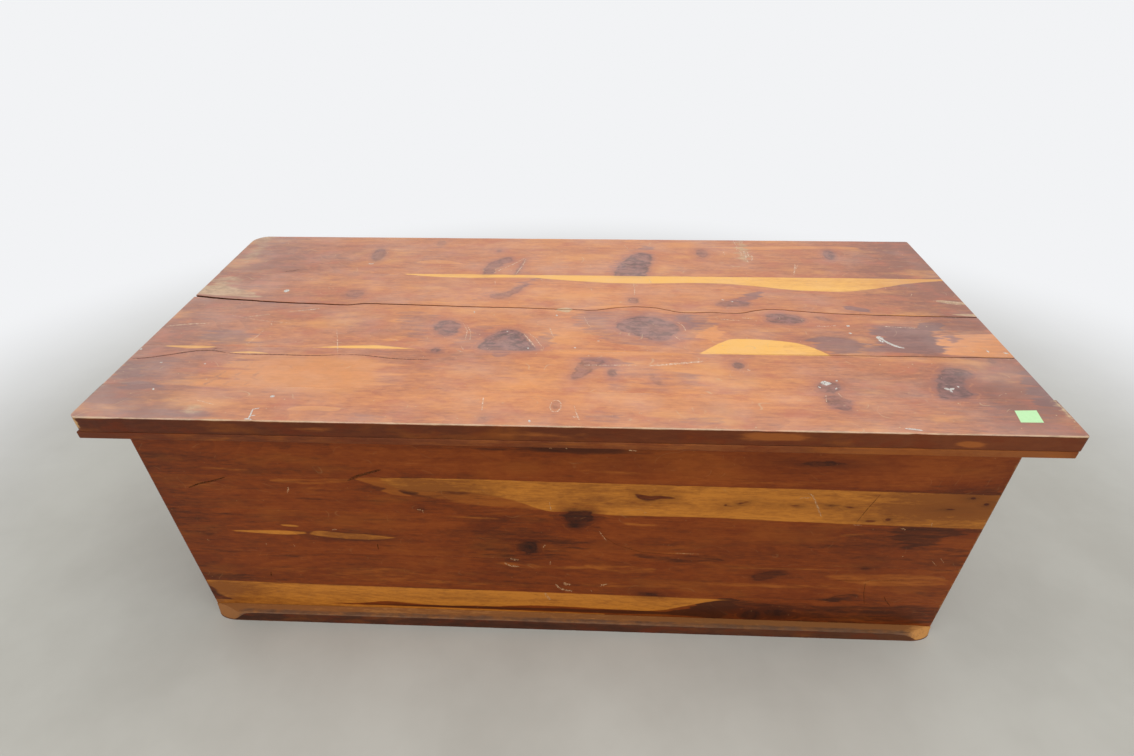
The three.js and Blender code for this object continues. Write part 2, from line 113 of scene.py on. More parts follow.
def make_camera():
    """A pinhole camera turned down, aside and over by three small angles."""
    pitch, yaw, roll = CAMERA_PITCH, CAMERA_YAW, CAMERA_ROLL
    ahead = Vector((math.sin(yaw) * math.cos(pitch), math.cos(yaw) * math.cos(pitch), -math.sin(pitch)))
    right = Vector((math.cos(yaw), -math.sin(yaw), 0))
    over = right.cross(ahead)
    side = math.cos(roll) * right + math.sin(roll) * over
    up = -math.sin(roll) * right + math.cos(roll) * over
    data = bpy.data.cameras.new("photo_camera")
    data.sensor_width = SENSOR
    data.lens = FOCAL_PIXELS * SENSOR / PHOTO_WIDTH
    camera = bpy.data.objects.new("photo_camera", data)
    corner = np.array([LID_MIDDLE, LID_LOW[1], LID_TOP])
    place = Vector(corner + np.array(CAMERA_FROM_LID) * (ALONG, ACROSS, DOWN))
    turn = Matrix((side, up, -ahead)).transposed().to_4x4()
    camera.matrix_world = Matrix.Translation(place) @ turn
    bpy.context.scene.collection.objects.link(camera)
    bpy.context.scene.camera = camera


# Shader expressions


def shade(red, green, blue):
    """A colour as seen on a screen, 0 to 255, as the linear colour that a socket holds."""
    parts = np.array([red, green, blue]) / 255
    linear = np.where(parts <= 0.04045, parts / 12.92, ((parts + 0.055) / 1.055) ** 2.4)
    return (*linear.tolist(), 1.0)


def deeper(colour, share):
    """A colour with its light scaled."""
    return (*(part * share for part in colour[:3]), 1.0)


class Value:
    """A shader socket in an expression: arithmetic on it adds Math nodes to its tree."""

    def __init__(self, nodes, socket):
        self.nodes = nodes
        self.socket = socket

    def math(self, operation, *others):
        return self.nodes.math(operation, self, *others)

    def __add__(self, other):
        return self.math("ADD", other)

    def __sub__(self, other):
        return self.math("SUBTRACT", other)

    def __mul__(self, other):
        return self.math("MULTIPLY", other)

    def __radd__(self, other):
        return self.nodes.math("ADD", other, self)

    def __rsub__(self, other):
        return self.nodes.math("SUBTRACT", other, self)

    def __rmul__(self, other):
        return self.nodes.math("MULTIPLY", other, self)

    def also(self, output):
        """Another output of the same node."""
        return Value(self.nodes, self.socket.node.outputs[output])

    def clamp(self):
        return self.nodes.node("ShaderNodeClamp", {}, {"Value": self})

    def smooth(self, low, high):
        """0 below low and 1 above high, with a smooth step between; high may be the lower one."""
        ends = {"From Min": min(low, high), "From Max": max(low, high)}
        if high < low:
            ends |= {"To Min": 1.0, "To Max": 0.0}
        settings = {"interpolation_type": "SMOOTHSTEP"}
        return self.nodes.node("ShaderNodeMapRange", settings, {"Value": self} | ends)


class Nodes:
    """A shader tree whose nodes are added by expressions."""

    def __init__(self, tree):
        self.tree = tree

    def node(self, kind, settings, inputs, output=0):
        """Adds a node: its settings, a ramp's stops among them, then its sockets. Gives one of its outputs."""
        node = self.tree.nodes.new(kind)
        for key, value in settings.items():
            if key == "stops":
                elements = node.color_ramp.elements
                while len(elements) < len(value):
                    elements.new(0.5)
                for element, (place, colour) in zip(elements, value):
                    element.position = place
                    element.color = colour
            else:
                setattr(node, key, value)
        for key, value in inputs.items():
            self.feed(node.inputs[key], value)
        return Value(self, node.outputs[output])

    def feed(self, socket, value):
        """Links a value to a socket, or sets a constant on it."""
        if isinstance(value, Value):
            self.tree.links.new(value.socket, socket)
        else:
            socket.default_value = value

    def math(self, operation, *values):
        return self.node("ShaderNodeMath", {"operation": operation}, dict(enumerate(values)))

    def vector(self, operation, inputs, output=0):
        return self.node("ShaderNodeVectorMath", {"operation": operation}, inputs, output)

    def attribute(self, name, output="Fac"):
        return self.node("ShaderNodeAttribute", {"attribute_name": name}, {}, output)

    def object_place(self):
        return self.node("ShaderNodeTexCoord", {}, {}, "Object")

    def noise(self, place, scale, detail=3.0, roughness=0.55):
        """Noise from 0 to 1 with so many grains to the metre, the same along each axis or one number for each."""
        scale = scale if isinstance(scale, tuple) else (scale,) * 3
        stretched = self.vector("MULTIPLY", {0: place, 1: scale})
        inputs = {"Vector": stretched, "Scale": 1.0, "Detail": detail, "Roughness": roughness}
        return self.node("ShaderNodeTexNoise", {}, inputs)

    def blend(self, share, under, over):
        """One colour laid over another."""
        return self.node("ShaderNodeMix", {"data_type": "RGBA"}, {0: share, 6: under, 7: over}, 2)

    def ramp(self, value, stops):
        return self.node("ShaderNodeValToRGB", {"stops": stops}, {"Fac": value})


class Finish(Nodes):
    """A material with one surface."""

    def __init__(self, name):
        self.material = bpy.data.materials.new(name)
        self.material.use_nodes = True
        super().__init__(self.material.node_tree)
        self.principled = self.tree.nodes["Principled BSDF"]
        self.relief = None

    def bump(self, height, distance, strength):
        """Adds a relief to those already there."""
        inputs = {"Height": height, "Distance": distance, "Strength": strength}
        if self.relief:
            inputs["Normal"] = self.relief
        self.relief = self.node("ShaderNodeBump", {}, inputs)

    def finished(self, colour, roughness, **constants):
        """Feeds the surface and gives the material."""
        self.feed(self.principled.inputs["Base Color"], colour)
        self.feed(self.principled.inputs["Roughness"], roughness)
        for key, value in constants.items():
            self.feed(self.principled.inputs[key.replace("_", " ")], value)
        if self.relief:
            self.feed(self.principled.inputs["Normal"], self.relief)
        return self.material


# Finishes


def tone_set(base=(), **colours):
    """The tones of one part of the chest, from its dark streaks to its sapwood; the rest are as in the base set."""
    return dict(base) | {key: shade(*colour) for key, colour in colours.items()}


# The lid's smear tone is a pale film over it: partly dull, scuffed varnish and partly painted sheen.
LID_TONES = tone_set(
    dark=(140, 84, 60), middle=(180, 112, 72), light=(206, 134, 80), orange=(208, 136, 78), stain=(126, 88, 82),
    sap=(232, 174, 82), sap_dark=(208, 144, 68), knot=(82, 58, 58), worn=(196, 166, 130), red=(176, 98, 66),
    gold=(214, 146, 80), smear=(214, 186, 172),
)
FRONT_TONES = tone_set(
    dark=(86, 40, 18), middle=(124, 56, 18), light=(142, 70, 24), orange=(162, 90, 32), stain=(62, 30, 17),
    sap=(190, 119, 43), sap_dark=(136, 78, 30), knot=(34, 20, 18), worn=(166, 128, 82), red=(106, 42, 14),
    gold=(144, 78, 26),
)
EDGE_TONES = tone_set(
    FRONT_TONES, dark=(78, 37, 20), middle=(95, 46, 23), light=(112, 57, 28), orange=(150, 84, 36), worn=(206, 162, 112)
)
LIP_TONES = tone_set(FRONT_TONES, dark=(94, 46, 24), middle=(116, 60, 30), light=(138, 78, 36))
BASE_TONES = tone_set(
    FRONT_TONES, sap=(196, 138, 76), sap_dark=(144, 94, 52), worn=(106, 80, 64), dark=(58, 31, 19),
    middle=(76, 42, 26), light=(92, 53, 31),
)
BARE_TONES = tone_set(
    LID_TONES, dark=(164, 104, 76), middle=(190, 126, 92), light=(208, 148, 108), knot=(92, 52, 38),
    stain=(140, 90, 70), worn=(206, 182, 158),
)

# The noises in cedar: grains to the metre along the board, across it and out of it, then detail and roughness.
CEDAR_NOISES = {
    "blotch": ((5, 13, 13), 3.0),
    "ragged": ((26, 170, 170), 4.0, 0.62),
    "rings": ((40, 9, 26), 2.0),
    "pores": ((900, 900, 900), 2.0),
    "streak": ((2.6, 75, 75), 4.0, 0.62),
    "fleck": ((34, 110, 110), 4.0, 0.65),
    "fibre": ((48, 520, 520), 3.0, 0.65),
    "mottle": ((110, 260, 260), 3.0, 0.6),
    "growth": ((1.5, 8, 8), 1.5),
    "red": ((20, 38, 38), 5.0, 0.66),
    "gold": ((7, 20, 20), 5.0, 0.6),
    "plum": ((7, 15, 15), 5.0, 0.6),
    "gnarl": ((70, 120, 120), 4.0, 0.66),
    "faded": ((28, 45, 45), 2.0),
    "speck": ((260, 700, 700), 2.0),
    "rubbed": ((40, 130, 130), 5.0, 0.7),
    "scraped": ((60, 160, 160), 4.0, 0.7),
    "smear": ((10, 14, 14), 4.0, 0.6),
    "drift": ((7, 11, 11), 2.0, 0.4),
    "patchy": ((30, 42, 42), 2.0),
}
# Bands over the whole range of a noise.
RING_BANDS = 70
GROWTH_BANDS = 26
DUST_BANDS = 16
DUST_DOTS = ((46.0, 0.03), (90.0, 0.04))  # cells to the metre, and the size of a dot in its cell
DUST_HAIR = (0.035, 0.008)  # a hair's edge and its heart, in shares of a band
KNOT_RUFFLE = (11, 13)  # how far the noises move a knot's edge, in sheet units
FIBRE_RELIEF = (0.05 * MM, 0.5)
KNOT_RELIEF = (0.2 * MM, 0.4)


class Cedar(Finish):
    """Cedar from its fields. Its colour is laid on in layers, each a share from 0 to 1 and the tone laid over."""

    def __init__(self, name, tones, contrast, fray, end_grain):
        super().__init__(name)
        self.tones = tones
        self.fray = fray
        self.grain = self.attribute("grain", "Vector")
        self.blotch = self.grainy("blotch")
        self.ragged = self.grainy("ragged") - 0.5
        self.fibre = self.grainy("pores" if end_grain else "fibre")
        if end_grain:
            rings = (self.grainy("rings") * RING_BANDS).math("SINE") * 0.5 + 0.5
            tone = rings * 0.45 + self.fibre * 0.35 + 0.1
        else:
            growth = (self.grainy("growth") * GROWTH_BANDS).math("FRACT")
            tone = (self.blotch - 0.5) * 0.4 + (self.grainy("streak") - 0.5) * 0.5
            tone = tone + (self.grainy("fleck") - 0.5) * 0.45 + (self.fibre - 0.5) * 0.5
            tone = (tone + (self.grainy("mottle") - 0.5) * 0.4 + (growth - 0.5) * 0.1) * contrast + 0.5
        self.tone = tone + self.attribute("tone")

    def grainy(self, key):
        return self.noise(self.grain, *CEDAR_NOISES[key])

    def field(self, key, calm, wild):
        """A field whose edge breaks up along the grain, most where it is half strong."""
        level = self.attribute(key)
        half = level.clamp() * (1 - level.clamp()) * 4
        return level + self.ragged * (half * wild * self.fray + calm) + (self.blotch - 0.5) * 0.5

    def alive(self, key, low, high):
        """A tone that follows the grain: darker in its dark streaks and lighter in its light ones."""
        return self.ramp(self.tone, [(0.25, deeper(self.tones[key], low)), (0.75, deeper(self.tones[key], high))])

    def patches(self, variety):
        """Reddish, golden and plum patches, then the orange and stained places, and the sapwood."""
        tones = self.tones
        sap = self.attribute("sap") + self.ragged * 3.0
        return [
            (self.grainy("red").smooth(0.47, 0.68) * variety, tones["red"]),
            (self.grainy("gold").smooth(0.5, 0.7) * variety, tones["gold"]),
            (self.grainy("plum").smooth(0.52, 0.72) * variety * 0.45, tones["stain"]),
            (self.field("orange", 0.7, 1.6).smooth(0.15, 1.1) * 0.85, self.alive("orange", 0.84, 1.08)),
            (self.field("stain", 0.8, 1.8).smooth(0.2, 1.2) * 0.85, self.alive("stain", 0.8, 1.3)),
            (sap.smooth(-0.9, 0.9), self.ramp(self.tone, [(0.25, tones["sap_dark"]), (0.55, tones["sap"])])),
        ]

    def knots(self):
        """A red and a plum halo, pale arcs, a dark core that fades in places, and a broken rim.

        They follow the distance inside a knot's edge, in sheet units and negative outside.
        """
        gnarl = self.grainy("gnarl")
        depth = self.attribute("knot_depth")
        by_gnarl, by_fray = KNOT_RUFFLE
        inside = self.attribute("knot") + (gnarl - 0.5) * by_gnarl + self.ragged * by_fray * self.fray
        halo = inside.smooth(-20, 3)
        arcs = (inside * 0.62).math("SINE").smooth(0.2, 1.0) * inside.smooth(-24, -7) * inside.smooth(0, -3)
        faded = self.grainy("faded").smooth(0.32, 0.56) * 0.4 + 0.6
        self.core = (inside.smooth(-3.4, 2.2) * 0.66 + inside.smooth(1, 8) * 0.34) * faded
        rim = inside.smooth(-2.4, 0.6) * inside.smooth(5.0, 1.5) * gnarl.smooth(0.6, 0.44) * faded
        dark = deeper(self.tones["knot"], 0.8)
        heart = self.blend(gnarl.smooth(0.38, 0.62), dark, self.alive("stain", 0.95, 1.25))
        return [
            (inside.smooth(-24, -5) * depth * 0.4, self.alive("red", 0.9, 1.1)),
            (halo * halo * depth * 0.55, self.alive("stain", 0.9, 1.3)),
            (arcs * gnarl.smooth(0.45, 0.6) * depth * 0.3, self.tones["light"]),
            (self.core * depth * 0.88, heart),
            (rim * depth * 0.55, dark),
        ]

    def wear(self, haze, dust):
        """Dark specks, rubbed varnish, a pale film that is partly dull varnish and partly painted sheen, and hairs and
        dots of dust.
        """
        specks = self.grainy("speck").smooth(0.72, 0.82) * self.blotch.smooth(0.45, 0.75)
        self.worn = (self.attribute("worn") + (self.grainy("rubbed") - 0.5) * 1.2).smooth(0.35, 0.95)
        pale = self.tones["worn"]
        scraped = self.ramp(self.grainy("scraped"), [(0.4, deeper(pale, 0.68)), (0.56, pale)])
        layers = [(specks * 0.35, self.tones["stain"]), (self.worn * 0.85, scraped)]
        # The pale film is partly dull varnish and partly painted sheen, the lid's gloss laid into its colour.
        if haze:
            film = self.grainy("smear").smooth(0.35, 0.8) * haze + self.attribute("haze") * (self.ragged + 1)
            layers.append((film, self.tones["smear"]))
        if dust:
            line = ((self.grainy("drift") * DUST_BANDS).math("FRACT") - 0.5).math("ABSOLUTE")
            hairs = line.smooth(*DUST_HAIR) * self.grainy("patchy").smooth(0.54, 0.68)
            layers.append((hairs * dust * 0.6, pale))
            for scale, size in DUST_DOTS:
                spot = self.node("ShaderNodeTexVoronoi", {}, {"Vector": self.grain, "Scale": scale}, "Distance")
                chance = self.node("ShaderNodeSeparateColor", {}, {"Color": spot.also("Color")}, "Red")
                layers.append((spot.smooth(size * 1.8, size) * chance.smooth(0.62, 0.66) * dust, pale))
        return layers


def cedar(name, tones, gloss, sheen=0.12, coat=0.0, haze=0.0, contrast=1.0, variety=0.6, dust=0.0, fray=1.0,
          end_grain=False):
    """A finish of cedar: the grain's dark, middle and light tones, and over them the layers of its fields."""
    wood = Cedar(name, tones, contrast, fray, end_grain)
    colour = wood.ramp(wood.tone, [(0.26, tones["dark"]), (0.5, tones["middle"]), (0.74, tones["light"])])
    for share, tone in wood.patches(variety) + wood.knots() + wood.wear(haze, dust):
        colour = wood.blend(share, colour, tone)
    wood.bump(wood.fibre, *FIBRE_RELIEF)
    wood.bump(wood.core, *KNOT_RELIEF)
    roughness = wood.worn * 0.25 + (wood.blotch - 0.5) * 0.2 + gloss
    return wood.finished(colour, roughness, Coat_Weight=coat, Coat_Roughness=0.24, Specular_IOR_Level=sheen)


def bare_cad_finish(name, tones, stretch):
    """Bare cedar for CAD pieces, which carry no fields: the grain runs along the axis of the small stretch."""
    finish = Finish(name)
    place = finish.object_place()
    streak = finish.noise(place, tuple(70 * k for k in stretch), 4.0)
    fibre = finish.noise(place, tuple(600 * k for k in stretch), 2.0)
    tone = streak * 0.8 + fibre * 0.2
    colour = finish.ramp(tone, [(0.33, tones["dark"]), (0.5, tones["middle"]), (0.66, tones["light"])])
    finish.bump(fibre, 0.06 * MM, 0.5)
    return finish.finished(colour, streak * 0.1 + 0.66)


def metal_finish(name, bright, dull):
    """Old metal: a dull film that noise thins in patches, over a brighter ground."""
    finish = Finish(name)
    place = finish.object_place()
    film = finish.noise(place, 60, 4.0).smooth(0.35, 0.65)
    finish.bump(finish.noise(place, 900, 2.0), 0.03 * MM, 0.4)
    return finish.finished(finish.blend(film, shade(*bright), shade(*dull)), film * 0.2 + 0.35, Metallic=1.0)


def plain_finish(name, first, second, gloss, cover=None, sheen=0.5):
    """A thin paint, paper or dust whose colour wavers between two, and which may be patchy."""
    finish = Finish(name)
    place = finish.object_place()
    mottle = finish.noise(place, 300, 3.0)
    colour = finish.blend(mottle.smooth(0.3, 0.7), shade(*first), shade(*second))
    if cover:
        finish.feed(finish.principled.inputs["Alpha"], finish.noise(place, 900, 2.0).smooth(*cover))
    return finish.finished(colour, mottle * 0.1 + gloss, Specular_IOR_Level=sheen)


# Boards


class Stand:
    """How a board stands: which world axis runs along it, across it and out of its face, and their senses."""

    def __init__(self, axes, senses=(1, 1, 1)):
        self.axes = axes
        self.senses = senses

    def world(self, along, across, out):
        """Local arrays as an array of world points."""
        parts = [None, None, None]
        for values, axis, sense in zip((along, across, out), self.axes, self.senses):
            parts[axis] = values * sense
        return np.stack(np.broadcast_arrays(*parts), axis=-1)

    def span(self, low, high):
        """The lowest and highest local values of a world box."""
        return [sorted((low[axis] * sense, high[axis] * sense)) for axis, sense in zip(self.axes, self.senses)]


FACES_UP = Stand((0, 1, 2))
FACES_DOWN = Stand((0, 1, 2), (1, 1, -1))
FACES_FRONT = Stand((0, 2, 1), (1, 1, -1))
FACES_BACK = Stand((0, 2, 1))
FACES_LEFT = Stand((1, 2, 0), (1, 1, -1))
FACES_RIGHT = Stand((1, 2, 0))
DOWN_ACROSS_LID = Stand((1, 0, 2), (1, 1, -1))


def ripple(places, seed, longest, terms=5):
    """A sum of sine waves, each shorter and weaker than the last, with seeded phases; it stays within -1 and 1."""
    rng = np.random.default_rng(seed)
    total = np.zeros_like(places, dtype=float)
    weight = 0.0
    for term in range(terms):
        length = longest / (1.7**term * rng.uniform(0.85, 1.15))
        strength = 0.75**term
        total += strength * np.sin(2 * math.pi * places / length + rng.uniform(0, 2 * math.pi))
        weight += strength
    return total / weight


def fillet(before, corner, after, radius, steps=4):
    """A quarter circle from the side that comes in along `before` to the one that leaves along `after`."""
    turns = np.linspace(0, math.pi / 2, steps)
    line = []
    for place, come, leave in zip(corner, before, after):
        centre = place[:, None] - radius[:, None] * come + radius[:, None] * leave
        line.append(centre - radius[:, None] * (leave * np.cos(turns) - come * np.sin(turns)))
    return line


def outline(t0, t1, h0, h1, ease, face_ease, counts, notch=None):
    """The closed outline of a board at each station, as (across, out) arrays of stations by points.

    It runs along the low face, up the far side, back along the outer face and down the near side. Each corner
    is a quarter circle. A notch cuts the corner of the low face and the far side, or of the outer face and
    the far side, to a depth that varies along the board.
    """
    ones = np.ones_like(t0)
    near_ease, far_ease = face_ease if isinstance(face_ease, tuple) else (face_ease, face_ease)
    directions = ((1, 0), (0, 1), (-1, 0), (0, -1))
    corners = ((t0, h0), (t1, h0), (t1, h1), (t0, h1))
    runs = []
    for i, (corner, radius) in enumerate(zip(corners, (ease, ease, far_ease, near_ease))):
        if notch and i == notch["corner"]:
            wide, deep = notch["wide"], notch["deep"]
            if i == 1:
                points = ((t1 - wide, h0), (t1 - wide, h0 + deep), (t1, h0 + deep))
            else:
                foot = np.maximum(h1 - wide, h0 + ease)
                points = ((t1, foot), (t1 - deep, foot), (t1 - deep, h1))
            runs.append([np.stack([point[k] * ones for point in points], axis=1) for k in (0, 1)])
        else:
            runs.append(fillet(directions[i - 1], corner, directions[i], radius * ones))
    lines = []
    for k in (0, 1):
        pieces = []
        for i, count in enumerate(counts):
            here, there = runs[i][k], runs[(i + 1) % 4][k]
            share = np.linspace(0, 1, count + 2)[1:-1]
            pieces += [here, here[:, -1:] * (1 - share) + there[:, :1] * share]
        lines.append(np.concatenate(pieces, axis=1))
    return lines


def grid_faces(stations, points):
    """The quads of a tube of outlines, and its two flat ends."""
    i = np.arange(stations - 1)[:, None] * points
    j = np.arange(points)[None, :]
    k = (j + 1) % points
    quads = np.stack([i + j, i + k, i + points + k, i + points + j], axis=-1).reshape(-1, 4)
    ends = [list(range(points))[::-1], list(range((stations - 1) * points, stations * points))]
    return quads.tolist(), ends


def enclosed(points, faces):
    """Six times the signed volume inside a closed mesh, from fans of tetrahedra about the origin."""
    a, b, c, d = points[np.array([face for face in faces if len(face) == 4])].transpose(1, 0, 2)
    total = np.einsum("ij,ij->", a, np.cross(b, c)) + np.einsum("ij,ij->", a, np.cross(c, d))
    for face in faces:
        if len(face) != 4:
            ring = points[face]
            total += np.einsum("j,ij->", ring[0], np.cross(ring[1:-1], ring[2:]))
    return total


def new_piece(name, points, faces, slots, materials, node, fields=None, replacing=True, smooth_degrees=32):
    """A closed mesh as a piece of the chest, with its faces turned outwards.

    It rides with a CAD node, and it stands for that node unless told otherwise.
    """
    if enclosed(points, faces) < 0:
        faces = [face[::-1] for face in faces]
    mesh = bpy.data.meshes.new(name)
    mesh.from_pydata(points.tolist(), [], faces)
    for material in materials:
        mesh.materials.append(material)
    mesh.polygons.foreach_set("material_index", np.array(slots, dtype=np.int32))
    for key, values in (fields or {}).items():
        kind, part = ("FLOAT_VECTOR", "vector") if values.ndim == 2 else ("FLOAT", "value")
        attribute = mesh.attributes.new(key, kind, "POINT")
        attribute.data.foreach_set(part, values.astype(np.float32).ravel())
    mesh.shade_smooth()
    mesh.set_sharp_from_angle(angle=math.radians(smooth_degrees))
    mesh.update()
    piece = bpy.data.objects.new(name, mesh)
    bpy.context.scene.collection.objects.link(piece)
    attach(piece, NODES[node]["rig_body"])
    if replacing:
        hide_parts(node)
    return piece


OUTER, END, LOW, SIDE = range(4)
RING_KINDS = [(SIDE, LOW), (SIDE, SIDE), (OUTER, OUTER), (OUTER, SIDE)]  # each corner and the run after it


def board(
    node, stand, materials, fields, shape=None, breaks=(), ease=1.0 * MM, face_ease=1.0 * MM, end_ease=1.2 * MM,
    step=4 * MM, counts=(6, 4, 20, 4), sink=None, notch=None, rabbet=None, seed=0,
):
    """A board in place of a CAD node of the same span.

    Stations run along it; near each end the outline draws in by a quarter circle. `shape` moves the near and far
    sides at each station, `sink` lowers the outer face by so much at each place, and `rabbet` cuts the low face
    back near the ends. The materials are those of the outer face, the ends, the low face and the sides.
    """
    (s0, s1), (t0, t1), (h0, h1) = stand.span(*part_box(node))
    turns = np.linspace(0, math.pi / 2, 5)
    lead, drawn_in = end_ease * (1 - np.cos(turns)), end_ease * (1 - np.sin(turns))
    breaks = list(breaks)
    if notch:
        breaks += [place for a, b in notch["spans"] for place in (a - HAIR, a, b, b + HAIR)]
    if rabbet:
        a, b = s0 + rabbet["reach"], s1 - rabbet["reach"]
        breaks += [a, a + HAIR, b - HAIR, b]
    inner = np.arange(s0 + end_ease + step, s1 - end_ease - step / 2, step)
    middle = np.unique(np.concatenate([inner, breaks]))
    stations = np.concatenate([s0 + lead, middle, (s1 - lead)[::-1]])
    inset = np.concatenate([drawn_in, 0 * middle, drawn_in[::-1]])
    near, far, low_face = (level + 0 * stations for level in (t0, t1, h0))
    if shape:
        near, far = shape(stations, near, far)
    if rabbet:
        at_ends = (stations <= a + HAIR / 2) | (stations >= b - HAIR / 2)
        low_face = np.where(at_ends, h0 + rabbet["deep"], low_face)
    if notch:
        inside = [(stations >= a - HAIR / 2) & (stations <= b + HAIR / 2) for a, b in notch["spans"]]
        notch = notch | {"deep": np.any(inside, axis=0) * notch["deep"]}
    top_face = h1 - inset
    across, out = outline(near + inset, far - inset, low_face + inset, top_face, ease, face_ease, counts, notch)
    along = np.broadcast_to(stations[:, None], across.shape)
    if sink:
        share = np.clip((out - low_face[:, None]) / (top_face - low_face)[:, None], 0, 1)
        out = out - sink(along, across) * share
    points = stand.world(along, across, out).reshape(-1, 3)
    local = np.stack([along, across, out], axis=-1).reshape(-1, 3)
    quads, ends = grid_faces(*across.shape)
    kinds = []
    for i, (count, (corner_kind, run_kind)) in enumerate(zip(counts, RING_KINDS)):
        corner_quads = 2 if notch and notch["corner"] == i else 3
        kinds += [corner_kind] * corner_quads + [run_kind] * (count + 1)
    slots = kinds * (len(stations) - 1) + [END, END]
    return new_piece("cedar_" + node, points, quads + ends, slots, materials, node, fields(points, local, seed))


# Fields over the boards. A spot or a knot is (along, across, half length, half width, turn in degrees, strength).
FAR_FROM_KNOT = -60.0
FAR_FROM_SAP = -30.0


def bell(x, middle, spread, power=2):
    """1 at the middle, falling smoothly to nothing over the spread."""
    return np.exp(-(((x - middle) / spread) ** power))


def turned(u, v, along, across, half_u, half_v, turn):
    """Places as seen from a spot: along and across its own turned axes, in its half length and half width."""
    c, s = math.cos(math.radians(turn)), math.sin(math.radians(turn))
    return ((u - along) * c + (v - across) * s) / half_u, ((v - across) * c - (u - along) * s) / half_v


def blots(u, v, table):
    """The sum of soft spots."""
    total = np.zeros(u.shape)
    for *spot, strength in table:
        a, b = turned(u, v, *spot)
        total += strength * np.exp(-((a * a + b * b) ** 1.3))
    return total


def near_knot(u, v, knots):
    """How far inside a knot each place is, in sheet units and negative outside, and that knot's strength."""
    best = np.full(u.shape, FAR_FROM_KNOT)
    depth = np.zeros(u.shape)
    for *knot, strength in knots:
        a, b = turned(u, v, *knot)
        inside = (1 - np.sqrt(a * a + b * b)) * min(knot[2:4])
        depth = np.where(inside > best, strength, depth)
        best = np.maximum(best, inside)
    return best, depth


def bent_grain(u, v, knots):
    """The grain's own coordinate across the board: v, drawn round each knot as water runs round a pier."""
    bent = v.copy()
    for along, across, half_u, half_v, _, strength in knots:
        size = min(max(half_u, half_v), 1.4 * min(half_u, half_v) + 6)
        a, b = (u - along) / (2.0 * size), (v - across) / size
        bent -= 0.7 * (v - across) * strength / (1 + (a * a + b * b) ** 1.5)
    return bent


def cubic(start, stop, leave, arrive, t):
    """The cubic from start to stop as t goes from 0 to 1, with its slopes there."""
    line = start * (1 + 2 * t) * (1 - t) ** 2 + stop * t**2 * (3 - 2 * t)
    return line + leave * t * (1 - t) ** 2 + arrive * t**2 * (t - 1)


def closed_line(corners, steps=5):
    """A closed smooth line through its corners: cubic pieces whose slope is half the chord of the neighbours."""
    here = np.array(corners, float)
    before, after, beyond = (np.roll(here, shift, 0)[:, None] for shift in (1, -1, -2))
    here = here[:, None]
    t = np.linspace(0, 1, steps, endpoint=False)[None, :, None]
    return cubic(here, after, (after - before) / 2, (beyond - here) / 2, t).reshape(-1, 2)


def curve_through(points, u):
    """A smooth line through points, by cubic pieces whose slopes are those of their neighbours' chord."""
    x, y = np.array(points, float).T
    i = np.clip(np.searchsorted(x, u) - 1, 0, len(x) - 2)
    h = x[i + 1] - x[i]
    slope = np.gradient(y, x)
    return cubic(y[i], y[i + 1], h * slope[i], h * slope[i + 1], np.clip((u - x[i]) / h, 0, 1))


def inside_outline(u, v, corners):
    """How far inside a closed smooth line each place is, negative outside and at least -60.

    The distance is that to the nearest of the line's short sides, and a place is inside if a ray from it
    crosses the line an odd number of times.
    """
    ring = closed_line(corners)
    low, high = ring.min(axis=0) + FAR_FROM_KNOT, ring.max(axis=0) - FAR_FROM_KNOT
    close = (u > low[0]) & (u < high[0]) & (v > low[1]) & (v < high[1])
    result = np.full(u.shape, FAR_FROM_KNOT)
    if not close.any():
        return result
    x, y = u[close][:, None], v[close][:, None]
    (ax, ay), (bx, by) = ring.T, np.roll(ring, -1, 0).T
    dx, dy = bx - ax, by - ay
    share = np.clip(((x - ax) * dx + (y - ay) * dy) / np.maximum(dx**2 + dy**2, 1e-9), 0, 1)
    away = np.hypot(x - ax - share * dx, y - ay - share * dy).min(axis=1)
    crosses = ((ay > y) != (by > y)) & (x < (y - ay) / np.where(dy == 0, 1e-9, dy) * dx + ax)
    result[close] = np.where(crosses.sum(axis=1) % 2 == 1, away, -away)
    return result


def add_outlines(fields, u, v, knots, patches):
    """Adds what is given by its outline: knots (strength, outline), and patches (strength, softness, outline).

    A patch adds its strength to its field inside its outline, and falls smoothly to nothing over its softness.
    The places are first shifted along the grain by a ripple that runs across it, so that an outline ends in
    streaks.
    """
    streaks = ripple(v + 0.03 * u, 29, 19, 3)
    for strength, corners in knots:
        inside = inside_outline(u + 2.5 * streaks, v, corners)
        fields["knot_depth"] = np.where(inside > fields["knot"], strength, fields["knot_depth"])
        fields["knot"] = np.maximum(fields["knot"], inside)
    for key, table in patches.items():
        for strength, soft, corners in table:
            inside = inside_outline(u + (3 + 1.3 * soft) * streaks, v, corners)
            fields[key] = fields[key] + strength * cubic(0, 1, 0, 0, np.clip(inside / soft + 0.5, 0, 1))


def inside_bands(u, v, bands):
    """How far inside a sapwood band each place is, negative outside. A band is its lower and upper lines."""
    best = np.full(u.shape, FAR_FROM_SAP)
    for lower, upper in bands:
        start, stop = max(lower[0][0], upper[0][0]), min(lower[-1][0], upper[-1][0])
        inside = np.minimum(v - curve_through(lower, u), curve_through(upper, u) - v)
        best = np.maximum(best, np.minimum(inside, np.minimum(u - start, stop - u) * 0.25))
    return np.clip(best, FAR_FROM_SAP, -FAR_FROM_SAP)


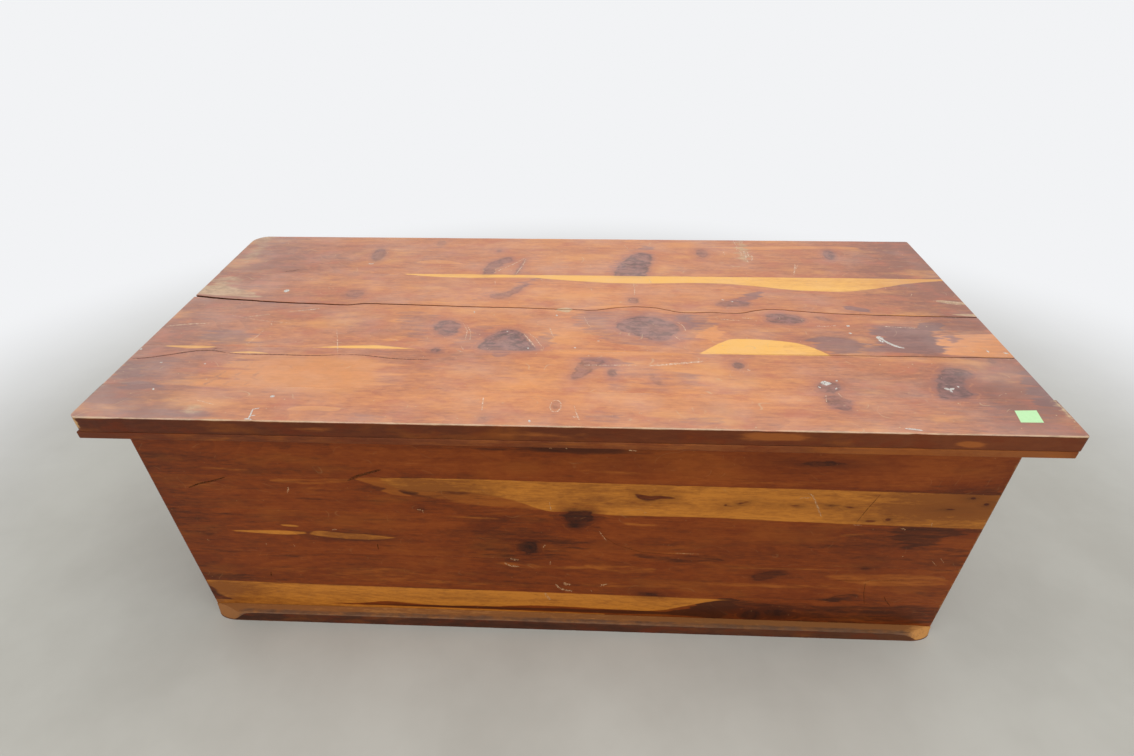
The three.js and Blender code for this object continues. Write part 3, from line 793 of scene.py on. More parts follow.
def plain_fields(points, local, seed):
    """Fields of a board that the photograph doesn't show: a few seeded knots and sapwood along one side."""
    rng = np.random.default_rng(seed)
    u, v = local[:, 0] / MM, local[:, 1] / MM
    u0, u1, v0, v1 = u.min(), u.max(), v.min(), v.max()
    wide = v1 - v0
    knots = []
    for _ in range(int(rng.integers(1, 2 + max(1, int((u1 - u0) / 320))))):
        size = rng.uniform(0.4, 1.0) * min(14, wide * 0.22)
        along = rng.uniform(u0 + 0.05 * (u1 - u0), u1 - 0.05 * (u1 - u0))
        across = rng.uniform(v0 + 0.2 * wide, v1 - 0.2 * wide)
        knots.append((along, across, size * rng.uniform(0.9, 1.7), size, rng.uniform(-25, 25), rng.uniform(0.7, 1)))
    sap = np.full(u.shape, FAR_FROM_SAP)
    side = rng.uniform()
    if wide > 60 and side < 0.5:
        edge = v - v0 if side < 0.25 else v1 - v
        sap = wide * (0.1 + 0.09 * ripple(u, seed + 3, 1300)) - edge
    shift = rng.uniform(0, 900)
    inside, depth = near_knot(u, v, knots)
    return {
        "grain": grain_places(u + shift, bent_grain(u, v, knots) + 31 * (seed % 17), local[:, 2] / MM),
        "knot": inside,
        "knot_depth": depth * 0.9,
        "sap": np.clip(sap, FAR_FROM_SAP, -FAR_FROM_SAP),
        "stain": 0.2 * ripple(u, seed + 9, 400),
        "orange": 0.2 + 0.25 * ripple(u, seed + 5, 700),
        "worn": 0 * u,
        "tone": 0.08 * ripple(u + 3 * v, seed + 7, 500),
    }


def grain_places(u, v, depth):
    """Places in the wood, in metres, for the noises to be read at."""
    return np.stack([u, v, depth], axis=-1) * MM


# The lid's marks, in sheet places. Its boards meet at 70, 163.6 and 395.5 from the front edge.
LID_JOINTS = (70, 163.6, 395.5)
SPLIT_JOINT = LID_JOINTS[1]
LID_JOINT_OPENS = [(180, 0.0), (360, 0.9), (610, 1.6)]  # along, and how wide the middle joint has opened
# The crack that runs along the lid: its line, and its width at places along.
LID_CRACK = [
    (-614, 311), (-558, 301.7), (-520, 298), (-492, 295), (-443, 291), (-394, 288.6), (-349, 287), (-328, 291),
    (-295, 291), (-230, 288.6), (-148, 285.3), (-66, 283.6), (-20, 281.2), (4, 280.4), (37, 279.5), (66, 287),
    (103, 291.6), (131, 288.6), (145, 284), (160, 278), (213, 277), (263, 277), (287, 285.3), (312, 288.6),
    (345, 284.5), (386, 279.5), (427, 276.3), (509, 273.8), (614, 271.3),
]
LID_CRACK_WIDTH = [(-614, 5.4), (-560, 4.4), (-480, 3.6), (-300, 3.0), (0, 1.9), (300, 1.7), (614, 2.2)]
# On the lid's edge a spot is given along and down from the top.
LID_EDGE_ORANGE = [
    (252, 10, 38, 6, 0, 1.8), (482, 16, 16, 5, 0, 1.6), (-304, 12, 26, 4, 0, 0.8), (-20, 14, 60, 5, 0, 0.5),
]
LID_EDGE_DINGS = [(414, 8, 0.9), (-380, 7, 0.8), (-540, 10, 0.5), (230, 5, 0.5), (20, 9, 0.4)]  # along, width and depth
LID_KNOTS = [
    (-353, 469, 11, 25, 6, 0.7), (130, 467, 7, 8, 0, 0.85), (227, 488, 9, 16, 0, 0.6), (451, 486, 9, 18, -10, 0.75),
    (-352, 323, 14, 12, 0, 0.45), (98, 311, 8, 9, 0, 0.6), (61, 113, 6, 9, 0, 0.7), (231, 135, 7, 8, 0, 0.75),
    (-10, 40, 5, 8, 0, 0.4), (-186, 161, 6, 5, 0, 0.75), (574, 154, 5, 6, 0, 0.5), (-138, 490, 4, 5, 0, 0.5),
    (-250, 520, 8, 11, 0, 0.3), (378, 262, 12, 4, -20, 0.5), (-97, 11, 6, 5, 0, 0.4), (118, 98, 5, 12, 25, 0.35),
]
# A drawn knot is (strength, outline), and a patch of a field is (strength, softness, outline).
LID_KNOT_OUTLINES = [
    (1.0, [(-124, 166), (-122, 186), (-113, 202), (-102, 213), (-90, 218), (-75, 215), (-64, 200), (-54, 181),
        (-46, 166), (-85, 164)]),
    (0.85, [(70, 238), (82, 250), (103, 261), (129, 259), (146, 247), (160, 234), (158, 221), (146, 205), (133, 194),
        (112, 200), (91, 213), (74, 221)]),
    (0.9, [(-201, 224), (-197, 236), (-186, 242), (-172, 239), (-164, 226), (-166, 209), (-177, 200), (-190, 206)]),
    (0.6, [(18, 140), (32, 144), (49, 143), (47, 133), (33, 115), (22, 103), (10, 98), (9, 111), (15, 128)]),
    (0.95, [(70, 392), (94, 390), (118, 392), (129, 430), (136, 461), (137, 476), (128, 483), (112, 485), (92, 461),
        (76, 428)]),
    (0.7, [(-152, 388), (-154, 415), (-148, 437), (-131, 456), (-114, 464), (-110, 452), (-121, 438), (-134, 418),
        (-139, 394)]),
    (0.6, [(-98, 392), (-93, 410), (-89, 445), (-87, 458), (-91, 445), (-96, 420), (-101, 396)]),
    (0.9, [(472, 71), (479, 99), (489, 118), (505, 134), (524, 134), (533, 125), (520, 111), (509, 95), (514, 80),
        (503, 72), (486, 69)]),
    (0.6, [(226, 303), (238, 311), (272, 312), (276, 304), (269, 297), (232, 297)]),
    (0.8, [(294, 261), (304, 274), (326, 274), (345, 267), (350, 257), (342, 249), (322, 246), (299, 251)]),
    (0.7, [(324, 83), (330, 96), (346, 99), (354, 92), (346, 80), (338, 76)]),
    (0.7, [(325, 62), (332, 70), (347, 69), (356, 56), (352, 42), (341, 41), (331, 50)]),
    (0.55, [(-132, 318), (-126, 327), (-108, 333), (-96, 346), (-83, 356), (-76, 362), (-84, 341), (-98, 322),
        (-115, 312)]),
]
LID_PATCHES = {
    "stain": [
        (0.9, 9, [(343, 200), (359, 211), (389, 207), (416, 201), (415, 187), (398, 171), (366, 166), (351, 179)]),
        (0.75, 8, [(398, 176), (440, 172), (520, 172), (522, 190), (520, 236), (460, 242), (436, 232), (446, 205),
            (420, 184)]),
        (0.7, 10, [(10, 274), (60, 278), (130, 279), (176, 262), (186, 236), (170, 200), (140, 176), (90, 180),
            (40, 200), (12, 230)]),
        (0.8, 8, [(160, 262), (178, 272), (205, 262), (215, 240), (198, 222), (172, 232)]),
        (0.7, 10, [(-164, 168), (-160, 198), (-140, 226), (-112, 232), (-118, 206), (-126, 186), (-128, 166)]),
        (0.7, 6, [(-60, 166), (-50, 190), (-38, 212), (-22, 210), (-24, 182), (-34, 165)]),
        (0.9, 4, [(-104, 160), (-80, 160), (-82, 150), (-94, 146), (-104, 152)]),
        (0.6, 8, [(-262, 262), (-225, 268), (-196, 250), (-205, 205), (-190, 182), (-220, 188), (-245, 216)]),
        (0.75, 6, [(18, 148), (60, 150), (84, 138), (64, 128), (50, 126), (40, 134)]),
        (0.5, 10, [(60, 78), (70, 122), (110, 128), (160, 116), (180, 92), (150, 74), (100, 70)]),
        (0.8, 5, [(262, 304), (285, 316), (306, 338), (298, 346), (270, 330), (254, 314)]),
        (1.0, 3, [(420, 300), (430, 302), (458, 291), (456, 282), (438, 287), (421, 292)]),
        (1.0, 4, [(516, 252), (546, 253), (548, 244), (536, 233), (517, 233)]),
        (0.7, 5, [(536, 212), (548, 220), (556, 218), (552, 206), (544, 199)]),
        (0.9, 10, [(588, 60), (592, 100), (604, 128), (616, 132), (616, 60)]),
        (0.75, 15, [(-540, 200), (-500, 210), (-472, 205), (-457, 172), (-500, 166), (-526, 178)]),
        (0.7, 6, [(-612, 118), (-592, 116), (-572, 96), (-584, 84), (-612, 90)]),
        (0.6, 6, [(-580, 72), (-556, 76), (-534, 70), (-546, 60), (-580, 60)]),
        (0.55, 6, [(-264, 16), (-240, 18), (-215, 6), (-240, 3), (-262, 6)]),
        (0.35, 14, [(-614, 122), (-560, 130), (-500, 118), (-484, 70), (-520, 40), (-614, 30)]),
        (0.6, 8, [(30, 12), (34, 28), (54, 32), (72, 20), (66, 9)]),
        (0.55, 6, [(140, 18), (180, 24), (196, 12), (160, 6)]),
        (0.6, 8, [(-84, 398), (-70, 380), (-62, 390), (-80, 410), (-100, 400)]),
        (0.8, 6, [(60, 400), (86, 448), (104, 490), (140, 500), (136, 520), (110, 506), (84, 470), (62, 430)]),
        (0.6, 8, [(-94, 356), (-76, 378), (-60, 388), (-70, 362), (-84, 344)]),
        (0.55, 6, [(-155, 302), (-140, 320), (-128, 336), (-146, 330)]),
        (0.5, 3, [(-474, 72), (-462, 100), (-450, 126), (-456, 104), (-466, 76)]),
        (0.45, 3, [(-449, 70), (-440, 102), (-430, 130), (-434, 100), (-442, 72)]),
        (0.45, 3, [(-420, 74), (-416, 104), (-412, 130), (-410, 104), (-414, 76)]),
        (0.4, 3, [(-396, 134), (-388, 110), (-378, 90), (-390, 108)]),
        (0.4, 3, [(-388, 134), (-368, 112), (-346, 92), (-372, 112)]),
        (0.35, 3, [(-368, 138), (-346, 118), (-320, 100), (-350, 120)]),
    ],
    "worn": [
        (0.34, 8, [(-494, 28), (-470, 32), (-452, 30), (-444, 12), (-476, 11)]),
        (0.7, 7, [(-616, 342), (-572, 343), (-550, 335), (-530, 328), (-514, 322), (-503, 315), (-504, 306),
            (-520, 306), (-548, 309), (-580, 312), (-616, 322)]),
        (0.35, 8, [(-600, 380), (-566, 374), (-536, 350), (-540, 336), (-600, 344)]),
        (1.1, 2, [(-20, 281), (-12, 286), (-2, 285), (6, 279), (-4, 273), (-14, 272)]),
        (0.7, 6, [(288, 462), (290, 500), (294, 534), (304, 552), (312, 520), (312, 480), (300, 452)]),
        (0.9, 2, [(574, 279), (596, 282), (614, 281), (614, 275), (590, 275)]),
        (0.75, 4, [(562, 321), (580, 325), (606, 318), (612, 311), (596, 309), (576, 314)]),
        (0.5, 3, [(602, 66), (612, 68), (613, 30), (607, 32)]),
    ],
    "orange": [
        (0.9, 24, [(-482, 66), (-470, 92), (-454, 134), (-420, 142), (-330, 143), (-262, 138), (-242, 110),
            (-244, 72), (-300, 62), (-400, 62)]),
        (0.4, 26, [(-152, 76), (-148, 120), (-120, 146), (-60, 148), (-28, 132), (-10, 100), (-30, 74), (-90, 70)]),
        (0.4, 14, [(-90, 84), (-76, 104), (-50, 112), (-34, 96), (-44, 80), (-70, 74)]),
        (1.7, 2, [(521, 212), (532, 218), (560, 221), (640, 221), (640, 168), (528, 168), (524, 180), (521, 195)]),
        (1.0, 3, [(-20, 455), (-6, 458), (2, 456), (-4, 451), (-16, 451)]),
        (1.1, 3, [(-274, 441), (-262, 449), (-236, 450), (-200, 441), (-190, 434), (-230, 436), (-260, 436)]),
        (1.1, 4, [(140, 514), (260, 516), (400, 522), (498, 520), (500, 512), (420, 510), (330, 505), (250, 511)]),
        (1.1, 3, [(-342, 22), (-330, 30), (-300, 31), (-276, 27), (-284, 21), (-310, 22)]),
        (0.8, 5, [(186, 205), (196, 236), (214, 240), (222, 212), (206, 196)]),
        (0.9, 3, [(0, 282), (40, 292), (90, 297), (120, 296), (90, 292), (40, 283)]),
        (0.7, 5, [(-18, 166), (40, 168), (120, 166), (180, 160), (120, 157), (0, 158)]),
        (0.8, 5, [(195, 288), (215, 298), (240, 296), (228, 286)]),
    ],
    "tone": [
        (0.42, 3, [(521, 212), (532, 218), (560, 221), (640, 221), (640, 168), (528, 168), (524, 180), (521, 195)]),
    ],
}
# Bands of sapwood, each between its lower and its upper line.
LID_SAP = [
    ([(-285, 393), (-230, 386), (-180, 384), (-107, 386), (-66, 386), (-25, 380), (16, 374.7), (57, 370.6),
        (140, 370.6), (180, 373), (246, 372), (279, 368), (312, 361.6), (345, 354), (386, 350), (443, 350),
        (476, 357), (509, 366.5), (541, 377), (574, 384.5), (614, 391)], [(-285, 396), (614, 396)]),
    ([(184, SPLIT_JOINT - 2), (361, SPLIT_JOINT - 2)], [(184, 164), (200, 178), (217, 192), (231, 200), (252, 202),
        (277, 201), (302, 198), (325, 192), (341, 183), (353, 172), (361, 164)]),
    ([(-362, SPLIT_JOINT), (-217, SPLIT_JOINT)], [(-362, 164), (-320, 169), (-270, 171), (-217, 164)]),
    ([(-574, 161), (-540, 157), (-505, 160)], [(-574, 163), (-540, 164), (-505, 163)]),
    ([(-472, 147), (-422, 146.5)], [(-472, 149), (-446, 151), (-422, 148)]),
]
LID_SPOTS = {
    "stain": [
        (300, 225, 60, 30, 0, 0.35), (-115, 445, 60, 34, 62, 0.35), (500, 104, 44, 44, 0, 0.35),
        (440, 225, 110, 50, 0, 0.35), (500, 60, 120, 50, 0, 0.3), (300, 35, 160, 30, 0, 0.2),
        (275, 325, 60, 26, 35, 0.3), (-350, 324, 36, 22, 0, 0.35), (-113, 330, 50, 22, 45, 0.3),
        (30, 112, 54, 34, 60, 0.3), (-500, 14, 70, 16, 0, 0.5), (-455, 10, 30, 8, 0, 0.6),
        (-200, 120, 40, 30, 0, 0.45), (340, 70, 40, 40, 0, 0.4), (200, 105, 60, 14, 0, 0.3),
        (-353, 470, 26, 40, 0, 0.3), (227, 488, 20, 26, 0, 0.3), (451, 486, 20, 30, 0, 0.3),
        (-290, 200, 60, 24, 0, 0.2), (-450, 440, 90, 60, 0, 0.2),
    ],
    "orange": [
        (-330, 100, 60, 50, 50, 0.3), (60, 155, 170, 12, 0, 0.35), (210, 115, 130, 40, 0, 0.35),
        (-10, 200, 50, 36, 0, 0.7), (60, 330, 200, 34, 0, 0.3), (-150, 425, 30, 6, -30, 0.7),
        (-262, 240, 14, 6, 0, 1.2), (-256, 187, 14, 4, 0, 1.2), (205, 220, 26, 34, 50, 0.4),
        (-322, 340, 18, 14, 0, 0.8), (-380, 528, 160, 12, 0, 0.5), (-160, 48, 150, 20, 0, 0.4),
        (80, 45, 120, 18, 0, 0.35), (350, 230, 110, 6, 0, 0.6), (60, 84, 120, 6, 0, 0.5), (190, 525, 40, 14, 0, 0.6),
        (-480, 52, 160, 8, 0, 0.5), (60, 60, 300, 6, 0, 0.4),
    ],
    "worn": [
        (-467, 330, 7, 6, 0, 0.9), (-104, 345, 12, 22, -28, 0.35), (-580, 480, 14, 50, 3, 0.22),
        (-582, 440, 20, 90, 0, 0.22), (240, 255, 60, 10, 0, 0.3), (500, 98, 9, 10, 0, 0.3),
        (-330, 240, 230, 10, 11, 0.2), (340, 88, 10, 12, 0, 0.3), (524, 372, 5, 5, 0, 0.4), (543, 364, 6, 6, 0, 0.4),
        (-585, 95, 40, 30, 0, 0.16), (-460, 20, 16, 12, 0, 0.4), (180, 378, 12, 8, 0, 0.3),
    ],
    "tone": [
        (100, 52, 480, 18, 0, 0.08), (440, 52, 80, 20, 0, 0.08), (-560, 14, 80, 26, 0, -0.2),
        (0, 14, 600, 14, 0, -0.05), (-520, 35, 60, 28, 0, -0.12), (380, 376, 200, 13, 0, -0.12),
        (604, 100, 24, 40, 0, -0.2), (-600, 60, 30, 40, 0, -0.12), (-190, 145, 120, 22, 0, -0.16),
        (-60, 320, 240, 40, 0, 0.1), (200, 100, 120, 40, 0, 0.12), (380, 200, 90, 40, 0, -0.1),
        (450, 440, 120, 60, 0, -0.05), (-380, 250, 120, 60, 0, -0.03), (-300, 470, 160, 60, 0, -0.05),
        (390, 85, 80, 60, 0, -0.12), (250, 420, 200, 30, 0, -0.05), (570, 110, 70, 60, 0, -0.14),
        (-480, 430, 120, 60, 0, -0.12), (-400, 300, 120, 20, 0, -0.1),
    ],
}
# Beads are a half width and a line of places.
LID_PAINT = [
    (4.6, [(-471, 331), (-463, 329)]), (2.2, [(446, 209), (449, 201), (455, 193), (462, 187), (470, 184)]),
    (4.6, [(440, 213), (449, 207)]), (2.2, [(441, 206), (446, 198)]), (2.0, [(407, 242), (412, 242)]),
    (1.7, [(404, 222), (409, 221)]), (4.4, [(330, 98), (344, 97)]), (3.0, [(334, 102), (340, 94)]),
    (1.3, [(351, 102), (354, 104)]), (1.1, [(325, 90), (328, 87)]), (1.2, [(346, 84), (348, 88)]),
    (2.2, [(484, 91), (490, 88)]), (1.9, [(490, 88), (497, 91)]), (1.5, [(490, 88), (491, 82)]),
    (1.2, [(502, 95), (505, 94)]), (2.2, [(-376, 49), (-370, 49)]), (1.0, [(-384, 2), (-385, 12), (-387, 23)]),
    (0.8, [(-387, 22), (-379, 25)]), (0.7, [(-385, 9), (-378, 11)]), (1.1, [(-390, 3), (-385, 4), (-379, 2)]),
    (1.3, [(404, 9), (414, 8), (424, 6)]), (1.6, [(-607, 155), (-606, 150)]), (1.5, [(-22, 264), (-20, 260)]),
    (1.2, [(-537, 62), (-534, 58)]), (1.0, [(236, 318), (240, 316)]), (1.0, [(250, 313), (254, 310)]),
    (1.3, [(580, 182), (581, 176)]), (1.5, [(600, 176), (606, 174)]), (1.2, [(-561, 121), (-557, 120)]),
    (1.0, [(-498, 119), (-495, 119)]), (1.3, [(-41, 12), (-40, 7)]), (1.2, [(-92, 214), (-89, 214)]),
    (1.0, [(41, 192), (44, 191)]), (1.0, [(8, 174), (11, 172)]), (1.2, [(-57, 172), (-56, 168)]),
    (1.0, [(-362, 434), (-356, 431), (-352, 434)]), (1.0, [(-149, 271), (-147, 266)]),
]
LID_SCRATCHES = [
    (1.3, [(-606, 215), (-575, 222), (-543, 226)]), (1.2, [(-493, 246), (-460, 255)]),
    (1.1, [(-438, 262), (-412, 268), (-390, 274)]), (0.8, [(-450, 228), (-446, 222)]),
    (0.9, [(-452, 210), (-455, 192), (-460, 172)]), (0.9, [(-98, 398), (-90, 430), (-86, 458)]),
    (1.1, [(-137, 401), (-124, 417), (-110, 432), (-87, 463)]), (0.9, [(-103, 55), (-101, 28)]),
    (0.8, [(12, 42), (16, 26), (20, 12)]), (0.9, [(8, 20), (14, 18), (20, 20)]),
    (0.8, [(-30, 228), (-24, 205), (-20, 198)]), (1.0, [(-66, 208), (-56, 190), (-46, 172)]),
    (0.7, [(-60, 212), (-48, 196), (-36, 172)]), (0.7, [(-160, 236), (-150, 215), (-149, 190)]),
    (0.6, [(-154, 232), (-144, 210), (-142, 186)]), (2.0, [(112, 131), (150, 137), (187, 144)]),
    (0.8, [(20, 130), (60, 131), (100, 132)]), (1.2, [(370, 406), (377, 428), (382, 448)]),
    (0.9, [(376, 424), (382, 436), (386, 444)]), (0.8, [(12, 470), (17, 456), (11, 444)]),
    (0.8, [(100, 325), (101, 350), (100, 370)]), (0.9, [(126, 386), (130, 370)]), (0.7, [(30, 352), (32, 342)]),
    (0.7, [(-130, 372), (-128, 360)]), (0.8, [(-54, 384), (-50, 372)]), (0.6, [(88, 520), (96, 508), (92, 500)]),
    (0.7, [(292, 545), (294, 520), (291, 500)]), (1.4, [(296, 498), (297, 486), (295, 478)]),
    (1.6, [(303, 500), (304, 480), (301, 464)]), (1.2, [(309, 496), (308, 478)]),
    (1.5, [(314, 482), (313, 470), (310, 460)]), (1.3, [(302, 540), (304, 530), (309, 541)]),
    (0.8, [(302, 464), (303, 452)]), (0.8, [(266, 500), (267, 482)]), (0.8, [(222, 258), (240, 255), (256, 253)]),
    (0.7, [(258, 262), (274, 259)]), (0.8, [(360, 241), (376, 240), (393, 243)]),
    (0.7, [(455, 243), (480, 240), (512, 238)]), (0.7, [(536, 335), (541, 345)]), (0.7, [(-470, 40), (-440, 30)]),
    (1.0, [(564, 322), (590, 320), (606, 316)]), (0.7, [(575, 316), (602, 309)]), (0.8, [(330, 72), (327, 58)]),
    (0.7, [(346, 78), (350, 66)]),
    (0.8, [(-15, 50), (-8, 52), (-4, 46), (-4, 34), (-8, 28), (-15, 29), (-18, 38), (-15, 49)]),
    (0.6, [(-345, 214), (-336, 190), (-322, 150)]), (0.5, [(-520, 250), (-470, 236), (-420, 229)]),
    (0.6, [(160, 246), (168, 236), (170, 222)]), (0.6, [(152, 208), (160, 196)]),
    (0.5, [(20, 262), (26, 240), (34, 222)]), (0.9, [(-158, 165), (-150, 158), (-147, 160)]),
    (0.7, [(-152, 172), (-146, 162)]), (0.7, [(240, 128), (245, 122)]),
]
LID_HAIRLINES = [
    (1.2, [(-608, 130), (-600, 129), (-585, 131), (-560, 139), (-540, 146), (-520, 152), (-500, 152), (-480, 147)]),
    (0.9, [(-480, 147), (-460, 144), (-430, 144), (-400, 144), (-370, 143), (-345, 143), (-330, 145), (-310, 147)]),
    (0.8, [(-310, 147), (-285, 146), (-262, 142), (-245, 139), (-220, 137), (-190, 138)]),
    (0.8, [(-504, 154), (-497, 160)]),
    (1.0, [(-497, 399), (-492, 402), (-484, 402), (-474, 408)]),
]
LABEL_CORNERS = [(549.4, 46.8), (576.1, 48.0), (572.4, 24.6), (545.5, 24.2)]
LABEL_THICK = 0.12

# The front's marks, along and down from the lid's top. Its boards meet at 127, 194, 288 and 367.
FRONT_KNOTS = [
    (332, 82, 22, 3.5, 0, 0.7), (-205, 187, 5, 4, 0, 0.45), (128, 365, 12, 4, 6, 0.75), (292, 410, 13, 9, 0, 0.95),
    (332, 404, 15, 8, 0, 0.8), (440, 290, 6, 2.5, 0, 0.7), (240, 159, 5, 1.6, -15, 0.4),
    (247, 156, 4, 1.3, -10, 0.35), (361, 159, 3, 1, 0, 0.5), (387, 162, 5, 1.3, 0, 0.35), (220, 163, 2, 1.6, 0, 0.4),
    (314, 161, 7, 1.1, 0, 0.3), (444, 184, 3.6, 2.6, 0, 0.5), (421, 188, 7, 2.2, 0, 0.35),
    (520, 161, 6, 1.3, 0, 0.35), (543, 139, 3.4, 2, 0, 0.4), (564, 150, 3.4, 2.4, 0, 0.4),
]
FRONT_KNOT_OUTLINES = [
    (1.0, [(3, 184), (20, 183), (37, 184), (37, 200), (28, 206), (22, 215), (9, 215), (5, 206), (0, 198)]),
    (1.0, [(-67, 262), (-64, 252), (-54, 250), (-44, 254), (-42, 264), (-46, 274), (-57, 276), (-65, 270)]),
    (0.5, [(96, 147), (102, 146), (116, 149), (130, 148), (152, 152), (130, 154), (112, 158), (102, 155)]),
    (0.55, [(281, 318), (286, 308), (304, 302), (324, 300), (328, 306), (318, 314), (300, 322), (286, 324)]),
]
FRONT_PATCHES = {
    "stain": [
        (0.5, 10, [(-582, 380), (-576, 386), (-566, 395), (-556, 402), (-546, 410), (-562, 412), (-582, 412)]),
        (0.9, 10, [(466, 197), (500, 196), (540, 198), (552, 207), (534, 222), (516, 234), (492, 242), (468, 226),
            (452, 212)]),
        (0.5, 12, [(440, 230), (480, 250), (500, 276), (560, 296), (574, 270), (574, 230), (520, 236)]),
        (1.3, 5, [(186, 400), (205, 388), (222, 379), (240, 372), (260, 372), (262, 392), (240, 420), (200, 420),
            (160, 414)]),
        (0.75, 10, [(240, 372), (360, 384), (576, 376), (576, 420), (220, 422)]),
        (0.8, 6, [(260, 392), (320, 396), (366, 402), (352, 418), (280, 420), (262, 410)]),
        (0.7, 6, [(396, 368), (410, 356), (432, 350), (452, 350), (448, 358), (424, 364), (408, 374)]),
        (0.7, 5, [(-110, 136), (-74, 141), (-44, 148), (-24, 153), (-44, 152), (-74, 145), (-112, 140)]),
        (0.9, 2, [(-49, 135), (-20, 140), (14, 145), (-10, 146), (-34, 141)]),
        (1.0, 2, [(22, 130), (44, 129), (66, 132), (50, 134), (28, 133)]),
        (0.6, 3, [(10, 160), (50, 165), (88, 171), (60, 169), (24, 164)]),
        (0.8, 3, [(-30, 166), (-8, 169), (10, 173), (-10, 173), (-30, 170)]),
        (0.8, 4, [(-225, 152), (-210, 150), (-200, 154), (-212, 158)]),
        (0.6, 8, [(100, 268), (160, 272), (222, 270), (226, 284), (180, 290), (128, 284)]),
        (0.4, 12, [(-130, 240), (-90, 226), (-30, 228), (10, 240), (30, 262), (0, 286), (-60, 296), (-110, 286)]),
        (0.5, 8, [(-20, 186), (0, 178), (46, 182), (60, 196), (50, 220), (20, 228), (-10, 216)]),
        (0.5, 10, [(-572, 340), (-520, 344), (-500, 352), (-520, 358), (-574, 358)]),
    ],
    "orange": [
        (0.6, 6, [(32, 299), (60, 296), (110, 298), (134, 305), (122, 313), (80, 317), (50, 312)]),
        (0.6, 6, [(-110, 298), (-60, 300), (0, 302), (40, 300), (20, 310), (-60, 312)]),
        (0.7, 4, [(250, 297), (330, 297), (440, 295), (448, 293), (360, 293), (260, 294)]),
        (0.7, 7, [(390, 306), (450, 302), (540, 300), (566, 310), (550, 326), (480, 330), (430, 326)]),
        (0.8, 3, [(78, 203), (100, 204), (140, 208), (110, 209), (84, 206)]),
        (0.9, 4, [(-286, 128), (-266, 125), (-236, 130), (-228, 150), (-214, 160), (-240, 158), (-262, 142)]),
        (0.8, 8, [(-214, 148), (-160, 150), (-100, 152), (-30, 160), (-30, 180), (-90, 178), (-170, 168)]),
        (0.7, 5, [(-400, 133), (-340, 130), (-290, 128), (-300, 136), (-350, 142), (-400, 140)]),
    ],
}
FRONT_SAP = [
    ([(-262, 124), (-240, 124.5), (-200, 124.6), (0, 126.5), (200, 128.4), (560, 132.2), (600, 132.6)], [(-262, 131),
        (-248, 140), (-234, 148), (-200, 152), (-150, 150), (-110, 154), (-70, 164), (-40, 178), (-28, 182.5),
        (10, 184), (60, 188), (200, 188.6), (350, 193.5), (600, 199)]),
    ([(-576, 361), (-550, 361.7), (-200, 367), (0, 369.3), (200, 373), (262, 375)], [(-576, 409), (-546, 411),
        (-355, 412), (-326, 409), (-300, 404.5), (-284, 403.5), (-260, 406), (-242, 408.5), (-200, 410), (-150, 409),
        (-108, 408), (-90, 405.8), (-60, 403.7), (0, 403.7), (50, 406.4), (100, 408), (132, 408), (150, 405.8),
        (170, 399.5), (190, 392), (205, 386), (220, 381), (239, 376), (262, 375)]),
    ([(-580, 411), (-355, 414.5), (-200, 416.4), (0, 419), (60, 420)], [(-580, 430), (60, 430)]),
    ([(-494, 241), (-470, 240), (-420, 239), (-384, 240)], [(-494, 243), (-450, 246), (-410, 247), (-384, 245)]),
    ([(-379, 241), (-366, 238), (-340, 240), (-290, 243), (-250, 248)], [(-379, 246), (-350, 251), (-310, 254),
        (-276, 253), (-250, 248.5)]),
    ([(-416, 225.5), (-404, 226), (-393, 227)], [(-416, 228), (-404, 229.5), (-393, 230)]),
]
FRONT_SAP_FADES = [
    (-262, 138, 50, 16, 0, 3.5), (-200, 150, 50, 5, 0, 2.5), (-578, 393, 13, 11, 40, 8), (-560, 404, 12, 5, 20, 5),
]
FRONT_SAP_SOFT = [
    (-150, 158, 130, 22, 0, 0.8), (-262, 138, 50, 20, 0, 0.6), (-566, 396, 24, 14, 0, 0.8),
]
